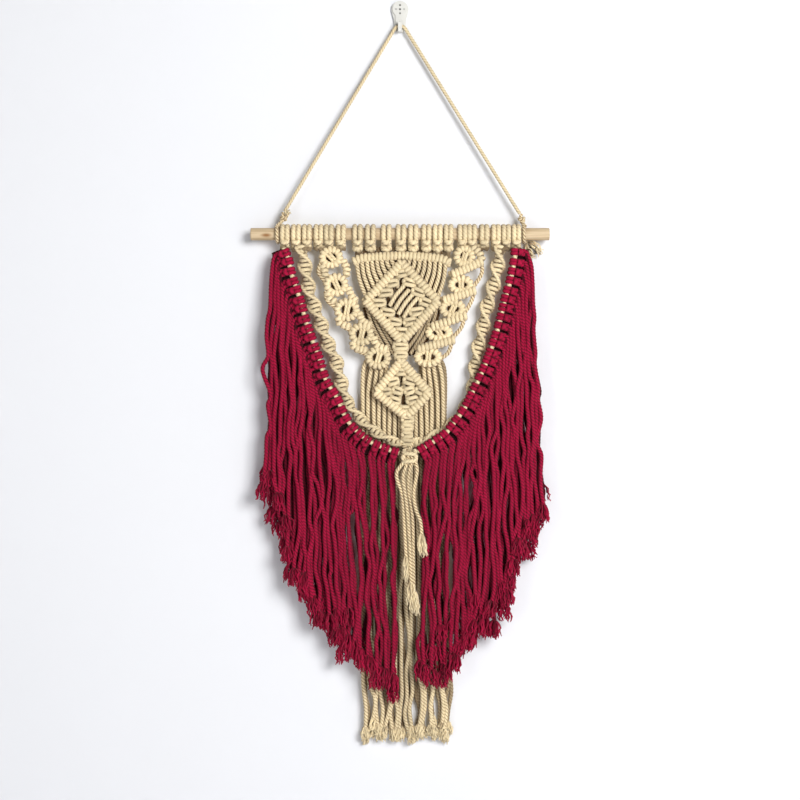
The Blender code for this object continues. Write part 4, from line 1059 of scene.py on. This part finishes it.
class HANGING_OT_front_tassel(bpy.types.Operator):
    """The knot in front of the garlands' meeting point, with its loose cords"""

    bl_idname = "hanging.front_tassel"
    bl_label = "Front tassel"

    def execute(self, context):
        rope = Rope(context, 101)
        x, drop, width, height = TASSEL_KNOT
        for line in reversed(square_knot(x, drop, width, height, 0, y=TASSEL_Y)):
            rope.add(line, tight=0.7)
        for cord in TASSEL_CORDS:
            line = rope.add([(cord[0][0], drop - 4.0, TASSEL_Y), *cord], 2.15, step=0.9)
            rope.fray(line[-1], line[-1] - line[-6], spread=2.6, long=1.3)
        rope.piece("tassel", natural, "front_tassel")
        return {"FINISHED"}


class HANGING_OT_dowel_and_hook(bpy.types.Operator):
    """Finishes for the solids that stay: the wooden dowel and the plastic hook"""

    bl_idname = "hanging.dowel_and_hook"
    bl_label = "Dowel and hook"

    def execute(self, context):
        colours = context.scene.hanging_colours
        for name, finish in (("dowel", pale_wood(colours.wood, colours.wood_grain)),
                             ("wall_hook", white_plastic(colours.plastic))):
            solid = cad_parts[name]
            solid.data.materials.clear()
            solid.data.materials.append(finish)
        return {"FINISHED"}


def plane(name, corners, material):
    """A flat four-cornered stage surface."""
    mesh = bpy.data.meshes.new(name)
    mesh.from_pydata(corners, [], [tuple(range(len(corners)))])
    mesh.materials.append(material)
    made = bpy.data.objects.new(name, mesh)
    bpy.context.scene.collection.objects.link(made)
    return made


def area_light(name, place, aim, size, power):
    """A soft square light at place, facing aim, both in metres."""
    data = bpy.data.lights.new(name, "AREA")
    data.shape, data.size, data.energy = "SQUARE", size, power
    made = bpy.data.objects.new(name, data)
    bpy.context.scene.collection.objects.link(made)
    made.location = place
    x, y, z = np.array(aim) - np.array(place)
    made.rotation_euler = (math.atan2(math.hypot(x, y), -z), 0, math.atan2(x, -y) + math.pi)


class HANGING_OT_stage(bpy.types.Operator):
    """Camera, pale wall and floor, soft lights"""

    bl_idname = "hanging.stage"
    bl_label = "Stage"

    def execute(self, context):
        scene = context.scene
        middle = DATUM * MM - PICTURE / 2
        wall_paint, tree, shader = finish_named("matt_wall_paint", Roughness=0.95)
        shader.inputs["Base Color"].default_value = srgb("#D9DADD")
        seen = {"Fac": node(tree, "ShaderNodeNewGeometry").outputs["Backfacing"], 1: shader.outputs["BSDF"],
                2: node(tree, "ShaderNodeBsdfTransparent").outputs["BSDF"]}
        either = node(tree, "ShaderNodeMixShader", seen)
        out = next(n for n in tree.nodes if n.type == "OUTPUT_MATERIAL")
        tree.links.new(either.outputs["Shader"], out.inputs["Surface"])
        edges = (-ROOM, FLOOR), (ROOM, FLOOR), (ROOM, CEILING), (-ROOM, CEILING)
        wall = plane("wall", [(x, WALL_BACK, z) for x, z in edges], wall_paint)
        wall.visible_shadow = False
        floor_paint, _, floor_shader = finish_named("pale_floor", Roughness=0.9)
        floor_shader.inputs["Base Color"].default_value = srgb("#ECECEE")
        edges = (-ROOM, -ROOM), (ROOM, -ROOM), (ROOM, ROOM), (-ROOM, ROOM)
        plane("floor", [(x, y, FLOOR) for x, y in edges], floor_paint)
        for name, (place, size, power) in LAMPS.items():
            area_light(name, place, (0, 0, middle), size, power)
        world = bpy.data.worlds.new("soft_room")
        world.use_nodes = True
        room = world.node_tree.nodes["Background"]
        room.inputs["Color"].default_value = srgb("#F3F4F6")
        room.inputs["Strength"].default_value = 0.04
        scene.world = world
        scene.view_settings.view_transform = "Standard"
        camera = bpy.data.cameras.new("camera")
        camera.sensor_width = 36.0
        camera.lens = camera.sensor_width * CAMERA_REACH / PICTURE
        holder = bpy.data.objects.new("camera", camera)
        scene.collection.objects.link(holder)
        holder.location = (0.0, PANEL_Y * MM - CAMERA_REACH, middle)
        holder.rotation_euler = (math.pi / 2, 0, 0)
        scene.camera = holder
        return {"FINISHED"}


STEPS = (HANGING_OT_stage, HANGING_OT_hanging_cord, HANGING_OT_hanger_loops, HANGING_OT_dowel_and_hook,
         HANGING_OT_spirals, HANGING_OT_ring_columns, HANGING_OT_center_panel, HANGING_OT_garlands,
         HANGING_OT_back_fringe, HANGING_OT_front_tassel)


class HANGING_PT_panel(bpy.types.Panel):
    """Lists the steps and their sizes and colours"""

    bl_idname = "HANGING_PT_panel"
    bl_label = "Macrame wall hanging"
    bl_space_type = "VIEW_3D"
    bl_region_type = "UI"
    bl_category = "Macrame"

    def draw(self, context):
        for group in (context.scene.hanging_sizes, context.scene.hanging_colours):
            box = self.layout.box()
            for key in group.__annotations__:
                box.prop(group, key)
        for step in STEPS:
            self.layout.operator(step.bl_idname)


CLASSES = (HangingSizes, HangingColours, *STEPS, HANGING_PT_panel)


def register():
    for made in CLASSES:
        bpy.utils.register_class(made)
    bpy.types.Scene.hanging_sizes = bpy.props.PointerProperty(type=HangingSizes)
    bpy.types.Scene.hanging_colours = bpy.props.PointerProperty(type=HangingColours)


def unregister():
    del bpy.types.Scene.hanging_colours
    del bpy.types.Scene.hanging_sizes
    for made in reversed(CLASSES):
        bpy.utils.unregister_class(made)


def main():
    register()
    for step in STEPS:
        group, action = step.bl_idname.split(".")
        getattr(getattr(bpy.ops, group), action)()


if __name__ == "__main__":
    main()
